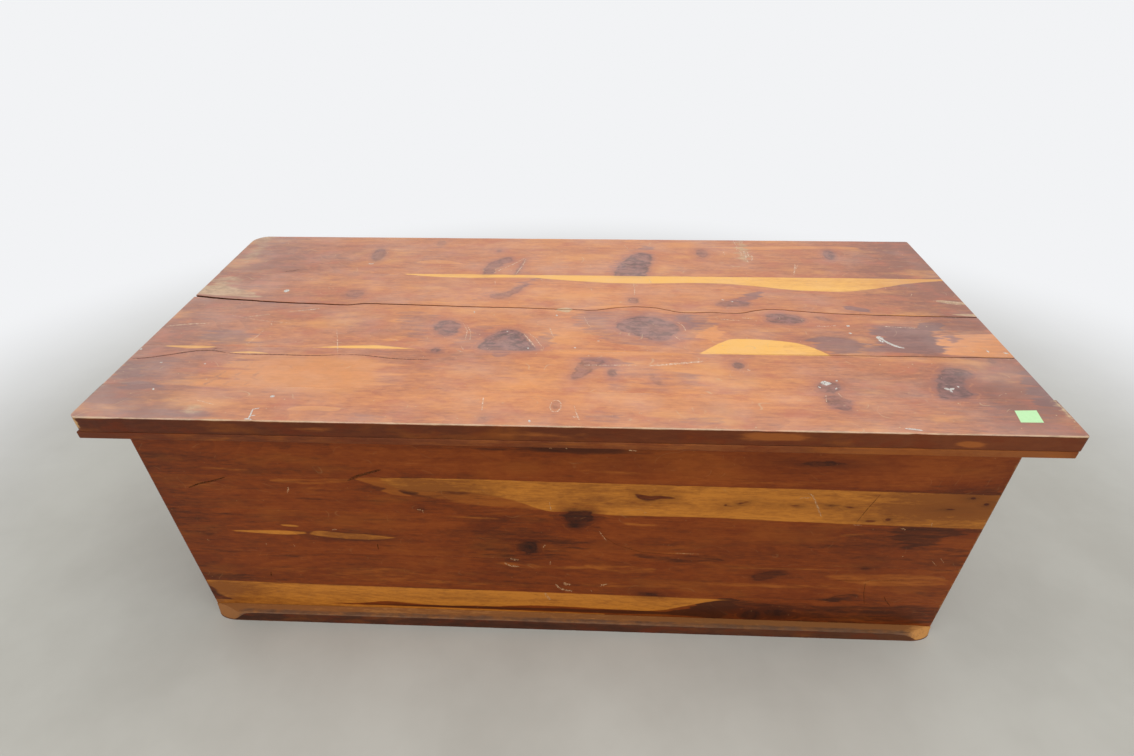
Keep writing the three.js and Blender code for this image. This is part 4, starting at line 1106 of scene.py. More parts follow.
FRONT_SPOTS = {
    "stain": [
        (-60, 67, 170, 7, 0, 0.8), (30, 68, 60, 6, 0, 0.9), (-350, 62, 80, 4, 0, 0.5), (-430, 352, 80, 8, 0, 0.4),
        (308, 312, 60, 16, 0, 0.4), (-540, 230, 50, 50, 0, 0.3), (170, 262, 160, 8, 3, 0.3),
        (-300, 208, 120, 5, 0, 0.4), (-330, 170, 90, 4, 2, 0.5), (60, 370, 30, 6, 0, 0.5),
        (-140, 413, 215, 3.5, 0, 1.3), (90, 413, 120, 5, 0, 1.5), (340, 80, 50, 7, 0, 0.5), (540, 124, 50, 3, 0, 0.6),
        (-480, 205, 60, 4, 0, 0.4), (-440, 295, 90, 6, 3, 0.4), (-320, 310, 60, 12, -8, 0.5),
        (-420, 275, 60, 4, 0, 0.4), (400, 365, 60, 5, 0, 0.6), (560, 340, 40, 30, 0, 0.4), (0, 114, 14, 4, 0, 0.5),
    ],
    "orange": [
        (300, 335, 130, 7, 0, 0.6), (-300, 332, 180, 18, 0, 0.45), (-120, 201, 50, 2.2, 2, 1.0),
        (110, 344, 90, 10, 0, 0.5), (-520, 150, 60, 10, 0, 0.35), (330, 118, 160, 6, 0, 0.4),
        (162, 266, 40, 1.6, 0, 1.0), (-200, 352, 140, 8, 0, 0.4), (-340, 152, 60, 8, 0, 0.4),
        (-440, 118, 60, 3, 4, 0.6), (400, 218, 30, 3, -12, 0.5), (470, 200, 14, 2, -14, 0.6),
        (100, 108, 120, 3, 3, 0.4), (-180, 92, 80, 3, 0, 0.3),
    ],
    "worn": [
        (110, 162, 10, 3, 0, 0.25), (-480, 340, 120, 40, 0, 0.06),
    ],
    "tone": [
        (187, 92, 70, 24, 0, 0.2), (453, 95, 80, 24, 0, 0.14), (55, 90, 50, 24, 0, 0.1), (-211, 88, 80, 24, 0, 0.08),
        (-211, 292, 60, 26, 0, 0.14), (-200, 215, 60, 24, 0, 0.08), (264, 215, 50, 20, 0, 0.08),
        (439, 232, 60, 22, 0, -0.14), (318, 392, 50, 20, 0, -0.12), (457, 365, 50, 20, 0, -0.1),
        (-225, 138, 60, 14, 0, -0.14), (-100, 95, 200, 24, 0, 0.06), (-350, 170, 160, 30, 0, 0.05),
        (560, 160, 130, 50, 0, -0.42), (-170, 150, 90, 30, 0, -0.22), (40, 156, 60, 26, 0, -0.14),
        (300, 250, 200, 30, 0, -0.04), (-80, 300, 200, 30, 0, -0.04), (-80, 240, 110, 50, 0, -0.12),
        (-60, 345, 120, 20, 0, -0.08), (-540, 385, 90, 40, 0, -0.16), (-300, 390, 200, 30, 0, -0.04),
        (-316, 246, 76, 14, 0, -0.3), (420, 400, 200, 26, 0, -0.16),
    ],
}
FRONT_SCRATCHES = [
    (1.2, [(-385, 147), (-387, 153), (-390, 160)]), (1.3, [(326, 136), (333, 141), (342, 158), (353, 181)]),
    (1.1, [(316, 146), (332, 145)]), (0.6, [(48, 222), (54, 234), (60, 244)]),
    (1.6, [(-94, 298), (-88, 304), (-78, 307), (-71, 306)]), (1.8, [(-84, 288), (-78, 291), (-70, 291)]),
    (2.0, [(-17, 347), (-12, 356), (-2, 362), (10, 363)]), (2.8, [(-5, 343), (0, 347), (7, 347)]),
    (1.3, [(52, 350), (56, 345), (63, 343)]), (1.0, [(53, 344), (58, 348)]),
    (2.0, [(-34, 370), (-31, 378), (-26, 388)]), (1.0, [(-24, 292), (-24, 301)]), (0.9, [(38, 358), (39, 363)]),
    (0.9, [(-212, 187), (-203, 187), (-202, 194)]), (0.6, [(-540, 262), (-538, 270)]),
    (1.2, [(-343, 235), (-335, 232)]), (1.2, [(466, 200), (474, 204)]), (0.7, [(-22, 165), (-20, 182)]),
    (1.0, [(-34, 262), (-30, 254)]), (0.8, [(-410, 269), (-409, 275)]), (0.7, [(-455, 270), (-450, 270)]),
    (0.7, [(110, 182), (114, 182)]), (0.8, [(400, 196), (412, 197)]), (0.6, [(505, 188), (506, 196)]),
    (0.8, [(-391, 30), (-390, 44), (-388, 56)]), (1.0, [(2, 62), (3, 66)]), (0.8, [(-20, 66), (-16, 65)]),
    (1.0, [(82, 66), (94, 67)]), (0.6, [(160, 266), (176, 267), (198, 267)]), (0.6, [(484, 258), (488, 262)]),
    (0.5, [(540, 262), (548, 272)]), (0.5, [(530, 268), (540, 280)]),
]
FRONT_DARK_LINES = [
    (1.5, [(-530, 154), (-512, 145), (-490, 139), (-470, 131)]),
    (2.2, [(-299, 133), (-285, 124), (-266, 117), (-248, 110)]), (0.5, [(403, 192), (411, 164), (421, 136)]),
    (0.5, [(449, 322), (453, 348), (461, 376)]), (0.7, [(485, 354), (490, 364), (501, 378)]),
    (0.9, [(-281, 262), (-282, 276)]), (1.0, [(-463, 336), (-466, 348)]), (0.5, [(398, 319), (450, 318), (512, 315)]),
    (0.5, [(395, 372), (410, 358), (440, 350)]), (0.4, [(50, 228), (72, 250), (110, 266), (160, 270)]),
]


def on_lid(points):
    """World places as places on the lid's sheet, and depths below its top."""
    u, v = (points[..., 0] - LID_MIDDLE) / ALONG, (points[..., 1] - LID_LOW[1]) / ACROSS
    return u, v, (LID_TOP - points[..., 2]) / DOWN


def lid_sink(x, y):
    """How far the lid's top lies below its highest level: each board is a little cupped, and worn in waves."""
    u, v = (x - LID_MIDDLE) / ALONG, (y - LID_LOW[1]) / ACROSS
    joints = np.array([0, *LID_JOINTS, SHEET_DEEP])
    i = np.clip(np.searchsorted(joints, v) - 1, 0, 3)
    middle, half = (joints[i] + joints[i + 1]) / 2, (joints[i + 1] - joints[i]) / 2
    cup = np.clip(np.abs(v - middle) / half, 0, 1) ** 2
    wave = 0.5 + 0.5 * np.sin(u / 83 + v / 37) * np.cos(u / 51 - v / 29)
    return (0.22 + 0.16 * cup + 0.12 * wave) * MM


def lid_fields(points, local, seed):
    """Fields of the lid's boards, from the tables above, with every outer arris a little rubbed."""
    u, v, depth = on_lid(points)
    here = [knot for knot in LID_KNOTS if v.min() - 4 < knot[1] < v.max() + 4]
    inside, knot_depth = near_knot(u, v, here)
    on_top, below = bell(depth, 0, 2.0), depth > 3
    from_side = SHEET_LONG / 2 - np.abs(u)
    front_rub = 1.5 * (0.85 + 0.45 * ripple(u, 5, 260)) * bell(v, 0.7, 1.0)
    rub = front_rub + 0.6 * bell(v, SHEET_DEEP, 2.0) + 0.5 * bell(from_side, 0, 1.8) + 0.3 * bell(u, LEFT_EDGE, 70)
    corner = bell(u, -600, 26) * bell(v, 540, 22)
    chip = bell(u, LEFT_EDGE, 11, 4) * bell(depth, 11, 9, 4) * bell(v, 0, 16, 4)
    left_end, right_end = bell(u, -600, 105), bell(u, 610, 120)
    clear = bell(u, 500, 200) * np.clip((v - 130) / 150, 0, 1)
    fields = {
        "grain": grain_places(u + 137 * seed, bent_grain(u, v, here) + 53 * seed, depth),
        "knot": inside,
        "knot_depth": knot_depth,
        "sap": inside_bands(u, v, LID_SAP),
        "stain": blots(u, v, LID_SPOTS["stain"]) + 0.42 * right_end + 0.34 * left_end,
        "orange": blots(u, v, LID_SPOTS["orange"]),
        "worn": (blots(u, v, LID_SPOTS["worn"]) + rub) * on_top + 0.5 * corner + 1.4 * chip,
        "tone": blots(u, v, LID_SPOTS["tone"]) - 0.32 * right_end - 0.22 * left_end + 0.1 * bell(u, 40, 330),
        # The haze field is a pale film, partly dull varnish and partly painted sheen, most at the left end and the
        # front.
        "haze": (0.1 * bell(u, LEFT_EDGE, 130) + 0.05 * bell(v, 0, 45) - 0.07 * clear) * on_top,
    }
    fields["tone"] = np.where(below, 0.2 * u / 600, fields["tone"])
    for key in ("stain", "orange"):
        fields[key] = np.where(below, 0.25 * fields[key], fields[key])
    fields["orange"] += below * blots(u, depth, LID_EDGE_ORANGE)
    add_outlines(fields, u, v, LID_KNOT_OUTLINES, LID_PATCHES)
    fields["knot_depth"] = fields["knot_depth"] * (1 - 0.9 * np.clip(fields["sap"] / 2 + 0.5, 0, 1))
    fields["worn"] = np.where(depth < 23, fields["worn"], 0)
    return fields


def on_front(points):
    """World places as places on the front's sheet: along, and down from the lid's top."""
    return (points[..., 0] - LID_MIDDLE) / ALONG, (LID_TOP - points[..., 2]) / DOWN


def front_sink(x, z):
    """How far the front lies behind its most forward level."""
    u, down = (x - LID_MIDDLE) / ALONG, (LID_TOP - z) / DOWN
    wave = 0.5 + 0.5 * np.sin(u / 97 + down / 31) * np.cos(u / 57 - down / 23)
    return (0.1 + 0.1 * wave) * MM


def front_fields(points, local, seed):
    """Fields of the front's boards, from the tables above."""
    u, down = on_front(points)
    here = [knot for knot in FRONT_KNOTS if down.min() - 4 < knot[1] < down.max() + 4]
    inside, knot_depth = near_knot(u, down, here)
    half = (CASE_HIGH[0] - CASE_LOW[0]) / ALONG / 2
    left_end, right_end = bell(u, -578, 90), bell(u, 576, 120)
    side_rub = 0.5 * bell(half - np.abs(u + 1.5), 0, 2.0)
    fields = {
        "grain": grain_places(u + 211 * seed, bent_grain(u, down, here) + 71 * seed, -points[:, 1] / MM),
        "knot": inside,
        "knot_depth": knot_depth,
        "sap": inside_bands(u, down, FRONT_SAP) - blots(u, down, FRONT_SAP_FADES),
        "stain": blots(u, down, FRONT_SPOTS["stain"]) + 0.2 * left_end,
        "orange": blots(u, down, FRONT_SPOTS["orange"]),
        "worn": blots(u, down, FRONT_SPOTS["worn"]) + side_rub + 0.12 * right_end,
        "tone": blots(u, down, FRONT_SPOTS["tone"]) - 0.1 * left_end + 0.08 * right_end,
    }
    add_outlines(fields, u, down, FRONT_KNOT_OUTLINES, FRONT_PATCHES)
    soft = blots(u, down, FRONT_SAP_SOFT) * np.clip((down - 128) / 6, 0, 1)
    fields["sap"] = np.minimum(fields["sap"] * (1 - soft), -1.5 * fields["knot"])
    return fields


# Of each lid board: the radii of its near and far upper arrises, in millimetres.
LID_EASES = ((1.2, 0.1), (0.1, 0.2), (0.2, 0.4), (0.4, 0.1), (0.1, 1.5))


def make_lid(finishes):
    """The lid's five boards. The split boards follow the crack, and each arris is worn in its own way."""
    joints = [LID_LOW[1] + joint * ACROSS for joint in LID_JOINTS]

    def crack_line(stations):
        """The crack's middle line and its width."""
        u = (stations - LID_MIDDLE) / ALONG
        line = curve_through(LID_CRACK, u) + 0.35 * ripple(stations, 7, 0.03)
        return LID_LOW[1] + line * ACROSS, np.interp(u, *zip(*LID_CRACK_WIDTH)) * ACROSS

    def pulled_in(stations, left, right):
        """How far a side draws in near the ends, by quarter circles of two radii."""
        pull = np.zeros_like(stations)
        for radius, away in ((left, stations - stations[0]), (right, stations[-1] - stations)):
            inside = np.clip(radius - away, 0, radius)
            pull = np.maximum(pull, radius - np.sqrt(np.maximum(radius**2 - inside**2, 0)))
        return pull

    def front_shape(stations, near, far):
        u = (stations - LID_MIDDLE) / ALONG
        worn = 0.3 * (1 + ripple(stations, 11, 0.09))
        for place, wide, deep in LID_EDGE_DINGS:
            worn = worn + deep * bell(u, place, wide)
        return near + worn * MM + pulled_in(stations, 9 * MM, 4 * MM), joints[0] - TIGHT + 0 * stations

    def second_shape(stations, near, far):
        opened = np.interp((stations - LID_MIDDLE) / ALONG, *zip(*LID_JOINT_OPENS)) * MM
        return joints[0] + TIGHT + 0 * stations, joints[1] - TIGHT - opened

    def split_front_shape(stations, near, far):
        line, gap = crack_line(stations)
        return joints[1] + TIGHT + 0 * stations, line - gap / 2

    def split_back_shape(stations, near, far):
        line, gap = crack_line(stations)
        return line + gap / 2, joints[2] - TIGHT + 0 * stations

    def back_shape(stations, near, far):
        worn = 0.3 * MM * (1 + ripple(stations, 17, 0.12))
        return joints[2] + TIGHT + 0 * stations, far - worn - pulled_in(stations, 26 * MM, 5 * MM)

    shapes = (front_shape, second_shape, split_front_shape, split_back_shape, back_shape)
    materials = [finishes[key] for key in ("lid", "lid_end", "bare", "lid_edge")]
    worn_corner = LID_LOW[0] + np.linspace(0.6, 30, 30) * MM
    for seed, (node, shape, (near_ease, far_ease)) in enumerate(zip(LID_BOARDS, shapes, LID_EASES), start=1):
        board(
            node, FACES_UP, materials, lid_fields, shape, worn_corner if shape in (front_shape, back_shape) else (),
            ease=0.8 * MM, face_ease=(near_ease * MM, far_ease * MM), end_ease=1.5 * MM, step=2 * MM,
            counts=(8, 10, 60, 10), sink=lid_sink, notch=hinge_notch(1) if shape is back_shape else None, seed=seed,
        )


def hinge_notch(corner):
    """The recesses for the hinge leaves in the lid, at corner 1 of its outline, or in the case, at corner 2."""
    kind = "lid_leaf" if corner == 1 else "case_leaf"
    boxes = [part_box(f"hinge_{side}_{kind}") for side in ("left", "middle", "right")]
    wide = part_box("back_board_top")[1][1] - boxes[0][0][1] + CLEAR
    spans = [(low[0] - CLEAR, high[0] + CLEAR) for low, high in boxes]
    return {"corner": corner, "wide": wide, "deep": LEAF_THICK + CLEAR, "spans": spans}


def end_rabbet(node):
    """The rabbets at both ends of a front or back board, which take the end boards."""
    low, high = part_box(node)
    end_low, end_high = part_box("left_end_board_bottom")
    lap = min(high[1] - end_low[1], end_high[1] - low[1])
    return {"reach": end_high[0] - low[0] + CLEAR, "deep": lap + CLEAR}


def family(start):
    """The nodes whose names start so, in order."""
    return sorted(node for node in NODES if node.startswith(start))


def up_to_next(node, nodes, axis, gap):
    """The shape of a board whose far side stands a gap from the next board: the CAD box also holds its tongue."""
    low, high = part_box(node)
    starts = [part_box(other)[0][axis] for other in nodes]
    beyond = [start for start in starts if start > low[axis] + MM]
    edge = min(beyond) - gap if beyond else high[axis]
    return lambda stations, near, far: (near, edge + 0 * stations)


def make_walls(finishes):
    """The front, the back and the two ends. Front and back are rabbeted at their ends for the end boards."""
    kinds = ("front", "back", "end")
    front, back, end = ([finishes[key] for key in (kind, "front_end", "bare", kind)] for kind in kinds)
    rabbet = end_rabbet("front_board_bottom")
    for seed, node in enumerate(FRONT_BOARDS, start=1):
        board(
            node, FACES_FRONT, front, front_fields, up_to_next(node, FRONT_BOARDS, 2, 2 * TIGHT), ease=0.5 * MM,
            face_ease=0.15 * MM, step=2.2 * MM, counts=(5, 5, 44, 5), sink=front_sink, rabbet=rabbet, seed=seed,
        )
    nodes = family("back_board_")
    rabbet = end_rabbet("back_board_bottom")
    for seed, node in enumerate(nodes, start=21):
        board(
            node, FACES_BACK, back, plain_fields, up_to_next(node, nodes, 2, 2 * TIGHT), step=6 * MM,
            counts=(5, 5, 18, 5), rabbet=rabbet, notch=hinge_notch(2) if node == "back_board_top" else None, seed=seed,
        )
    for side, stand, first in (("left", FACES_LEFT, 31), ("right", FACES_RIGHT, 41)):
        nodes = family(side + "_end_board_")
        for seed, node in enumerate(nodes, start=first):
            shape = up_to_next(node, nodes, 2, 2 * TIGHT)
            board(node, stand, end, plain_fields, shape, step=5 * MM, counts=(5, 5, 20, 5), seed=seed)


def make_inside(finishes):
    """Floor boards and cleats in bare cedar; the posts and battens keep their CAD form."""
    bare = [finishes["bare"]] * 4
    nodes = family("bottom_board_")
    for seed, node in enumerate(nodes, start=51):
        board(node, FACES_UP, bare, plain_fields, up_to_next(node, nodes, 1, SEAM), step=8 * MM, seed=seed)
    stands = {"front": FACES_UP, "back": FACES_UP, "left": DOWN_ACROSS_LID, "right": DOWN_ACROSS_LID}
    for seed, (side, stand) in enumerate(stands.items(), start=61):
        board(side + "_cleat", stand, bare, plain_fields, step=12 * MM, counts=(4, 4, 4, 4), seed=seed)


def lip_fields(points, local, seed):
    """Fields of a lip strip: no knots, and lighter towards the right."""
    fields = plain_fields(points, local, seed)
    fields["knot_depth"] = 0 * fields["knot_depth"]
    fields["tone"] += 0.3 * (points[:, 0] - LID_MIDDLE) / (LID_HIGH[0] - LID_MIDDLE)
    return fields


def make_lips(finishes):
    """The strips under the lid's overhang."""
    lips = (("front", FACES_UP, 10), ("left", DOWN_ACROSS_LID, 8), ("right", DOWN_ACROSS_LID, 8))
    for seed, (side, stand, rows) in enumerate(lips, start=81):
        board("lid_lip_" + side, stand, [finishes["lip"]] * 4, lip_fields, counts=(rows, 8, 8, 8), seed=seed)


# The share of its height that the strip's arris keeps, against the distance from its end in sheet units, and how
# far the worn right end of the strip has come down.
BASE_FALL_LEFT = [(0, 0), (31, 0), (36, 0.16), (43, 0.46), (51, 0.8), (60, 0.95), (74, 1), (90, 1), (700, 1)]
BASE_FALL_RIGHT = [(0, 0), (25, 0), (31, 0.3), (38, 0.62), (48, 0.85), (62, 0.96), (78, 1), (100, 1), (700, 1)]
BASE_DROOP = 4.5
BASE_DROOPS_FROM = 0.83  # in half lengths from the left end
BASE_REACHES = (2.2, 4.6, 2.5)  # of the front's bend, the close stations and the slope's bend, in its own depths
BASE_STATIONS = (100, 400)  # close ones at each end, and those between
BASE_RUNS = (4, 7, 9, 7, 4)  # points along the low face, the front, the slope, the top and the back
BASE_ARRIS = 2  # the slope's point where its arris is rubbed


def make_base(finishes):
    """The base strip. Across it, the outline is a low face, an upright front, a worn slope and a flat top.

    Near each end the front draws back along a quarter of an ellipse, and the slope's foot comes down from the
    arris to the floor along an S-shaped line.
    """
    low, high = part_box("base_strip")
    middle, half = (low[0] + high[0]) / 2, (high[0] - low[0]) / 2
    proud, tall = high[1] - low[1], high[2] - low[2]
    run, end_reach, slope_reach = (proud * reach for reach in BASE_REACHES)
    ends = np.linspace(0, end_reach, BASE_STATIONS[0])
    inner = np.linspace(end_reach, 2 * half - end_reach, BASE_STATIONS[1])[1:-1]
    away = np.concatenate([ends, inner, 2 * half - ends[::-1]])
    x = middle - half + away
    inward = np.minimum(away, 2 * half - away)
    bite = np.clip(1 - inward / run, 0, 1)
    wave = (0.5 + 0.5 * ripple(x, 91, 0.11)) * 0.25 * MM
    front = high[1] - proud * np.sqrt(np.maximum(1 - bite**2, 0.006)) + wave
    left_fall, right_fall = (curve_through(line, inward / MM) for line in (BASE_FALL_LEFT, BASE_FALL_RIGHT))
    fall = np.clip(np.where(x < middle, left_fall, right_fall), 0, 1)
    drooping = (away - half * BASE_DROOPS_FROM) / (half * (2 - BASE_DROOPS_FROM))
    droop = BASE_DROOP * MM * np.clip(drooping, 0, 1)
    worn = (0.7 + 1.0 * (0.5 + 0.5 * ripple(x, 92, 0.07))) * MM + 0.25 * droop
    foot = low[2] + np.maximum((tall - worn - 0.6 * droop) * fall, 0.02 * MM)
    slope_share = np.clip(inward / slope_reach, 0.0, 1)
    slope_back = high[1] - 0.4 * MM - (high[1] - 0.4 * MM - front) * (slope_share**1.4)
    slope_back = np.minimum(slope_back + worn * 1.3 * fall, high[1] - 0.3 * MM)
    top = high[2] - droop - (1 - slope_share) ** 2 * 2.0 * MM
    back, ground = high[1] + 0 * x, low[2] + 0 * x
    sides = []
    for corners in ((back, front, front, slope_back, back), (ground, ground, foot, top, top)):
        pieces = []
        for i, count in enumerate(BASE_RUNS):
            share = np.linspace(0, 1, count + 1)[:-1]
            pieces.append(corners[i][:, None] * (1 - share) + corners[(i + 1) % 5][:, None] * share)
        sides.append(np.concatenate(pieces, axis=1))
    across, over = sides
    up_slope = np.arange(across.shape[1]) - sum(BASE_RUNS[:2])
    swell = np.sin(np.clip(up_slope, 0, BASE_RUNS[2] - 1) * math.pi / (BASE_RUNS[2] - 1))
    swell = swell * np.clip(1 - fall, 0, 1)[:, None]
    across = across - swell * 1.2 * MM * np.clip(inward / run, 0, 1)[:, None]
    over = np.minimum(over + swell * 0.8 * MM, high[2])
    points = np.stack([np.broadcast_to(x[:, None], across.shape), across, over], axis=-1).reshape(-1, 3)
    faces, caps = grid_faces(*across.shape)
    u, down = on_front(points)
    sound, on_top, from_arris = (
        np.broadcast_to(values, across.shape).reshape(-1)
        for values in (fall[:, None], 1.0 * (up_slope > 0), np.abs(up_slope - BASE_ARRIS))
    )
    worn_slope = np.clip((0.66 - (points[:, 1] - low[1]) / proud) / 0.3, 0, 1) * on_top * sound
    arris = (0.45 + 0.4 * ripple(u, 95, 70)) * bell(from_arris, 0, 1.1) * sound
    to_right = np.clip((u + 100) / 650, 0, 1)
    front_tone, top_tone = 0.3 * to_right - 0.1, -(0.3 + 0.1 * to_right) * sound
    left_tip = (1 - sound) * (u < 0)
    fields = {
        "grain": grain_places(u, down + points[:, 1] / MM, points[:, 1] / MM),
        "knot": FAR_FROM_KNOT + 0 * u,
        "knot_depth": 0 * u,
        "sap": np.where(on_top > 0, 3.0 - 0.6 * sound, -8.0),
        "stain": (0.4 * ripple(u, 93, 60) + 0.1 + 0.25 * to_right) * on_top * sound,
        "orange": 0 * u,
        "worn": worn_slope * (0.75 + 0.2 * ripple(u, 94, 90)) + arris,
        "tone": np.where(on_top > 0, top_tone, front_tone) + 0.002 * points[:, 2] / MM - 0.55 * left_tip,
    }
    slots = [0] * (len(faces) + 2)
    new_piece("cedar_base_strip", points, faces + caps, slots, [finishes["base"]], "base_strip", fields)


def dress_cad(finishes):
    """Gives the CAD nodes that keep their form their finishes."""
    kinds = {"corner_post_": "bare_upright", "lid_batten_": "bare_cross", "hinge_": "brass", "stay_": "steel"}
    for start, key in kinds.items():
        for node in family(start):
            NODES[node].data.materials.clear()
            NODES[node].data.materials.append(finishes[key])


# Small marks on the surfaces. Each is a thin flat bead along a line of places on a sheet.


def lid_place(u, v):
    """World place of a sheet place on the lid's top."""
    x, y = LID_MIDDLE + u * ALONG, LID_LOW[1] + v * ACROSS
    return np.stack([x, y, LID_TOP - lid_sink(x, y)], axis=-1), np.array([0, 0, 1.0])


def front_place(u, down):
    """World place of a sheet place on the front."""
    x, z = LID_MIDDLE + u * ALONG, LID_TOP - down * DOWN
    return np.stack([x, CASE_LOW[1] + front_sink(x, z), z], axis=-1), np.array([0, -1.0, 0])


BEAD_ACROSS = np.array([-1, -0.7, 0, 0.7, 1, 0.5, -0.5])
BEAD_OVER = np.array([0, 0.75, 1, 0.75, 0, -0.6, -0.6])


def bead(place, line, half_width, round_ends, seed, lift):
    """One bead: points and faces. Across it, five points rise over the surface and two lie under it.

    The half width tapers to nothing at the ends, as a square root for a blob and more slowly for a scratch,
    and wavers along the way by a seeded ripple.
    """
    line = np.array(line, float)
    steps = np.concatenate([[0], np.cumsum(np.hypot(*np.diff(line, axis=0).T))])
    count = int(max(7, min(60, steps[-1] / 1.6)))
    s = np.linspace(0, steps[-1], count)
    u, v = np.interp(s, steps, line[:, 0]), np.interp(s, steps, line[:, 1])
    for _ in range(3 if len(line) > 2 else 0):
        u[1:-1], v[1:-1] = (u[:-2] + 2 * u[1:-1] + u[2:]) / 4, (v[:-2] + 2 * v[1:-1] + v[2:]) / 4
    share = s / steps[-1]
    width = half_width * (4 * share * (1 - share) + 1e-4) ** (0.5 if round_ends else 0.35)
    width = width * (1 + 0.28 * ripple(s, seed, max(4.0, half_width * 3)))
    heading = np.stack([np.gradient(u), np.gradient(v)], axis=-1)
    heading = heading / np.linalg.norm(heading, axis=1, keepdims=True)
    side = BEAD_ACROSS * width[:, None]
    base, normal = place(u[:, None] - heading[:, 1:] * side, v[:, None] + heading[:, :1] * side)
    points = (base + normal * (BEAD_OVER[:, None] * lift * MM)).reshape(-1, 3)
    faces, caps = grid_faces(count, len(BEAD_ACROSS))
    faces = faces + caps
    return points, faces if enclosed(points, faces) > 0 else [face[::-1] for face in faces]


def bead_set(name, place, table, material, node, lift, round_ends=False):
    """All the beads of one kind as one piece. A table row is a half width and a line of places."""
    points, faces, offset = [], [], 0
    for seed, (half_width, line) in enumerate(table, start=7):
        bead_points, bead_faces = bead(place, line, half_width, round_ends, seed, lift)
        faces += [[i + offset for i in face] for face in bead_faces]
        points.append(bead_points)
        offset += len(bead_points)
    new_piece(name, np.concatenate(points), faces, [0] * len(faces), [material], node, replacing=False)


def make_marks(finishes):
    """Paint splashes, scuffs, scratches and the hairline crack."""
    lid, front = (lid_place, "lid_board_second"), (front_place, "front_board_middle")
    marks = (
        ("lid_paint_spots", lid, LID_PAINT, "paint", 0.12, True),
        ("lid_scratches", lid, LID_SCRATCHES, "scuff", 0.08, False),
        ("lid_hairline_crack", lid, LID_HAIRLINES, "crack", 0.06, False),
        ("front_scratches", front, FRONT_SCRATCHES, "front_scuff", 0.08, False),
        ("front_gouges", front, FRONT_DARK_LINES, "gouge", 0.06, False),
    )
    for name, (place, node), table, key, lift, round_ends in marks:
        bead_set(name, place, table, finishes[key], node, lift, round_ends)


def make_label(finishes):
    """A blank paper label: a thin sheet over four corners, lifted a little at one corner."""
    corners = np.array(LABEL_CORNERS, float)
    rows, cols = 12, 15
    a, b = (share[..., None] for share in np.meshgrid(np.linspace(0, 1, cols), np.linspace(0, 1, rows)))
    uv = (corners[0] * (1 - a) + corners[1] * a) * (1 - b) + (corners[3] * (1 - a) + corners[2] * a) * b
    base, normal = lid_place(uv[..., 0], uv[..., 1])
    top = base + normal * ((LABEL_THICK + 0.05 * (a * (1 - b)) ** 4) * MM)
    under = base + normal * (0.02 * MM)
    points = np.concatenate([top.reshape(-1, 3), under.reshape(-1, 3)])
    places = np.arange(rows * cols).reshape(rows, cols)
    upper = np.stack([places[:-1, :-1], places[:-1, 1:], places[1:, 1:], places[1:, :-1]], axis=-1).reshape(-1, 4)
    lower = upper[:, ::-1] + places.size
    rim = np.concatenate([places[0], places[1:, -1], places[-1, -2::-1], places[-2:0:-1, 0]])
    ahead = np.roll(rim, -1)
    walls = np.stack([rim, rim + places.size, ahead + places.size, ahead], axis=-1)
    faces = np.concatenate([upper, lower, walls]).tolist()
    slots = [0] * len(faces)
    piece = new_piece("blank_label", points, faces, slots, [finishes["label"]], "lid_board_front", replacing=False)


# Screws. A head's stations lie across its slot, and two at each side of the slot make its wall.
# The slot's floor and a flat ring round each head are dark: dirt, and painted shade in the slot and where the head
# meets the plate.
HEAD_SIDE = [0.13, 0.13, 0.32, 0.55, 0.78, 0.93, 0.995]
HEAD_STATIONS = np.array([-share for share in HEAD_SIDE[::-1]] + HEAD_SIDE)
SLOT_STATIONS = (6, 7)
# The ring's outline: how far out, in the head's radius, and how high.
RING_REACH = np.array([0.97, 1.17, 1.17, 0.97])
RING_OVER = np.array([0.02, 0.02, -0.05, -0.05]) * MM
LEAF_ZIGZAG = ((0.15, 0.3), (0.5, 0.46), (0.85, 0.3))  # a leaf's screws, in shares of its length and width
COUNTERSUNK_SMALL = (3.1 * MM, 0.03 * MM, 0.07 * MM)  # radius, height of the rim and of the crown over it
COUNTERSUNK = (4 * MM, 0.15 * MM, 0.1 * MM)
ROUND_HEADED = (3.4 * MM, 0.3 * MM, 1.1 * MM)
STAY_THICK = 2 * MM


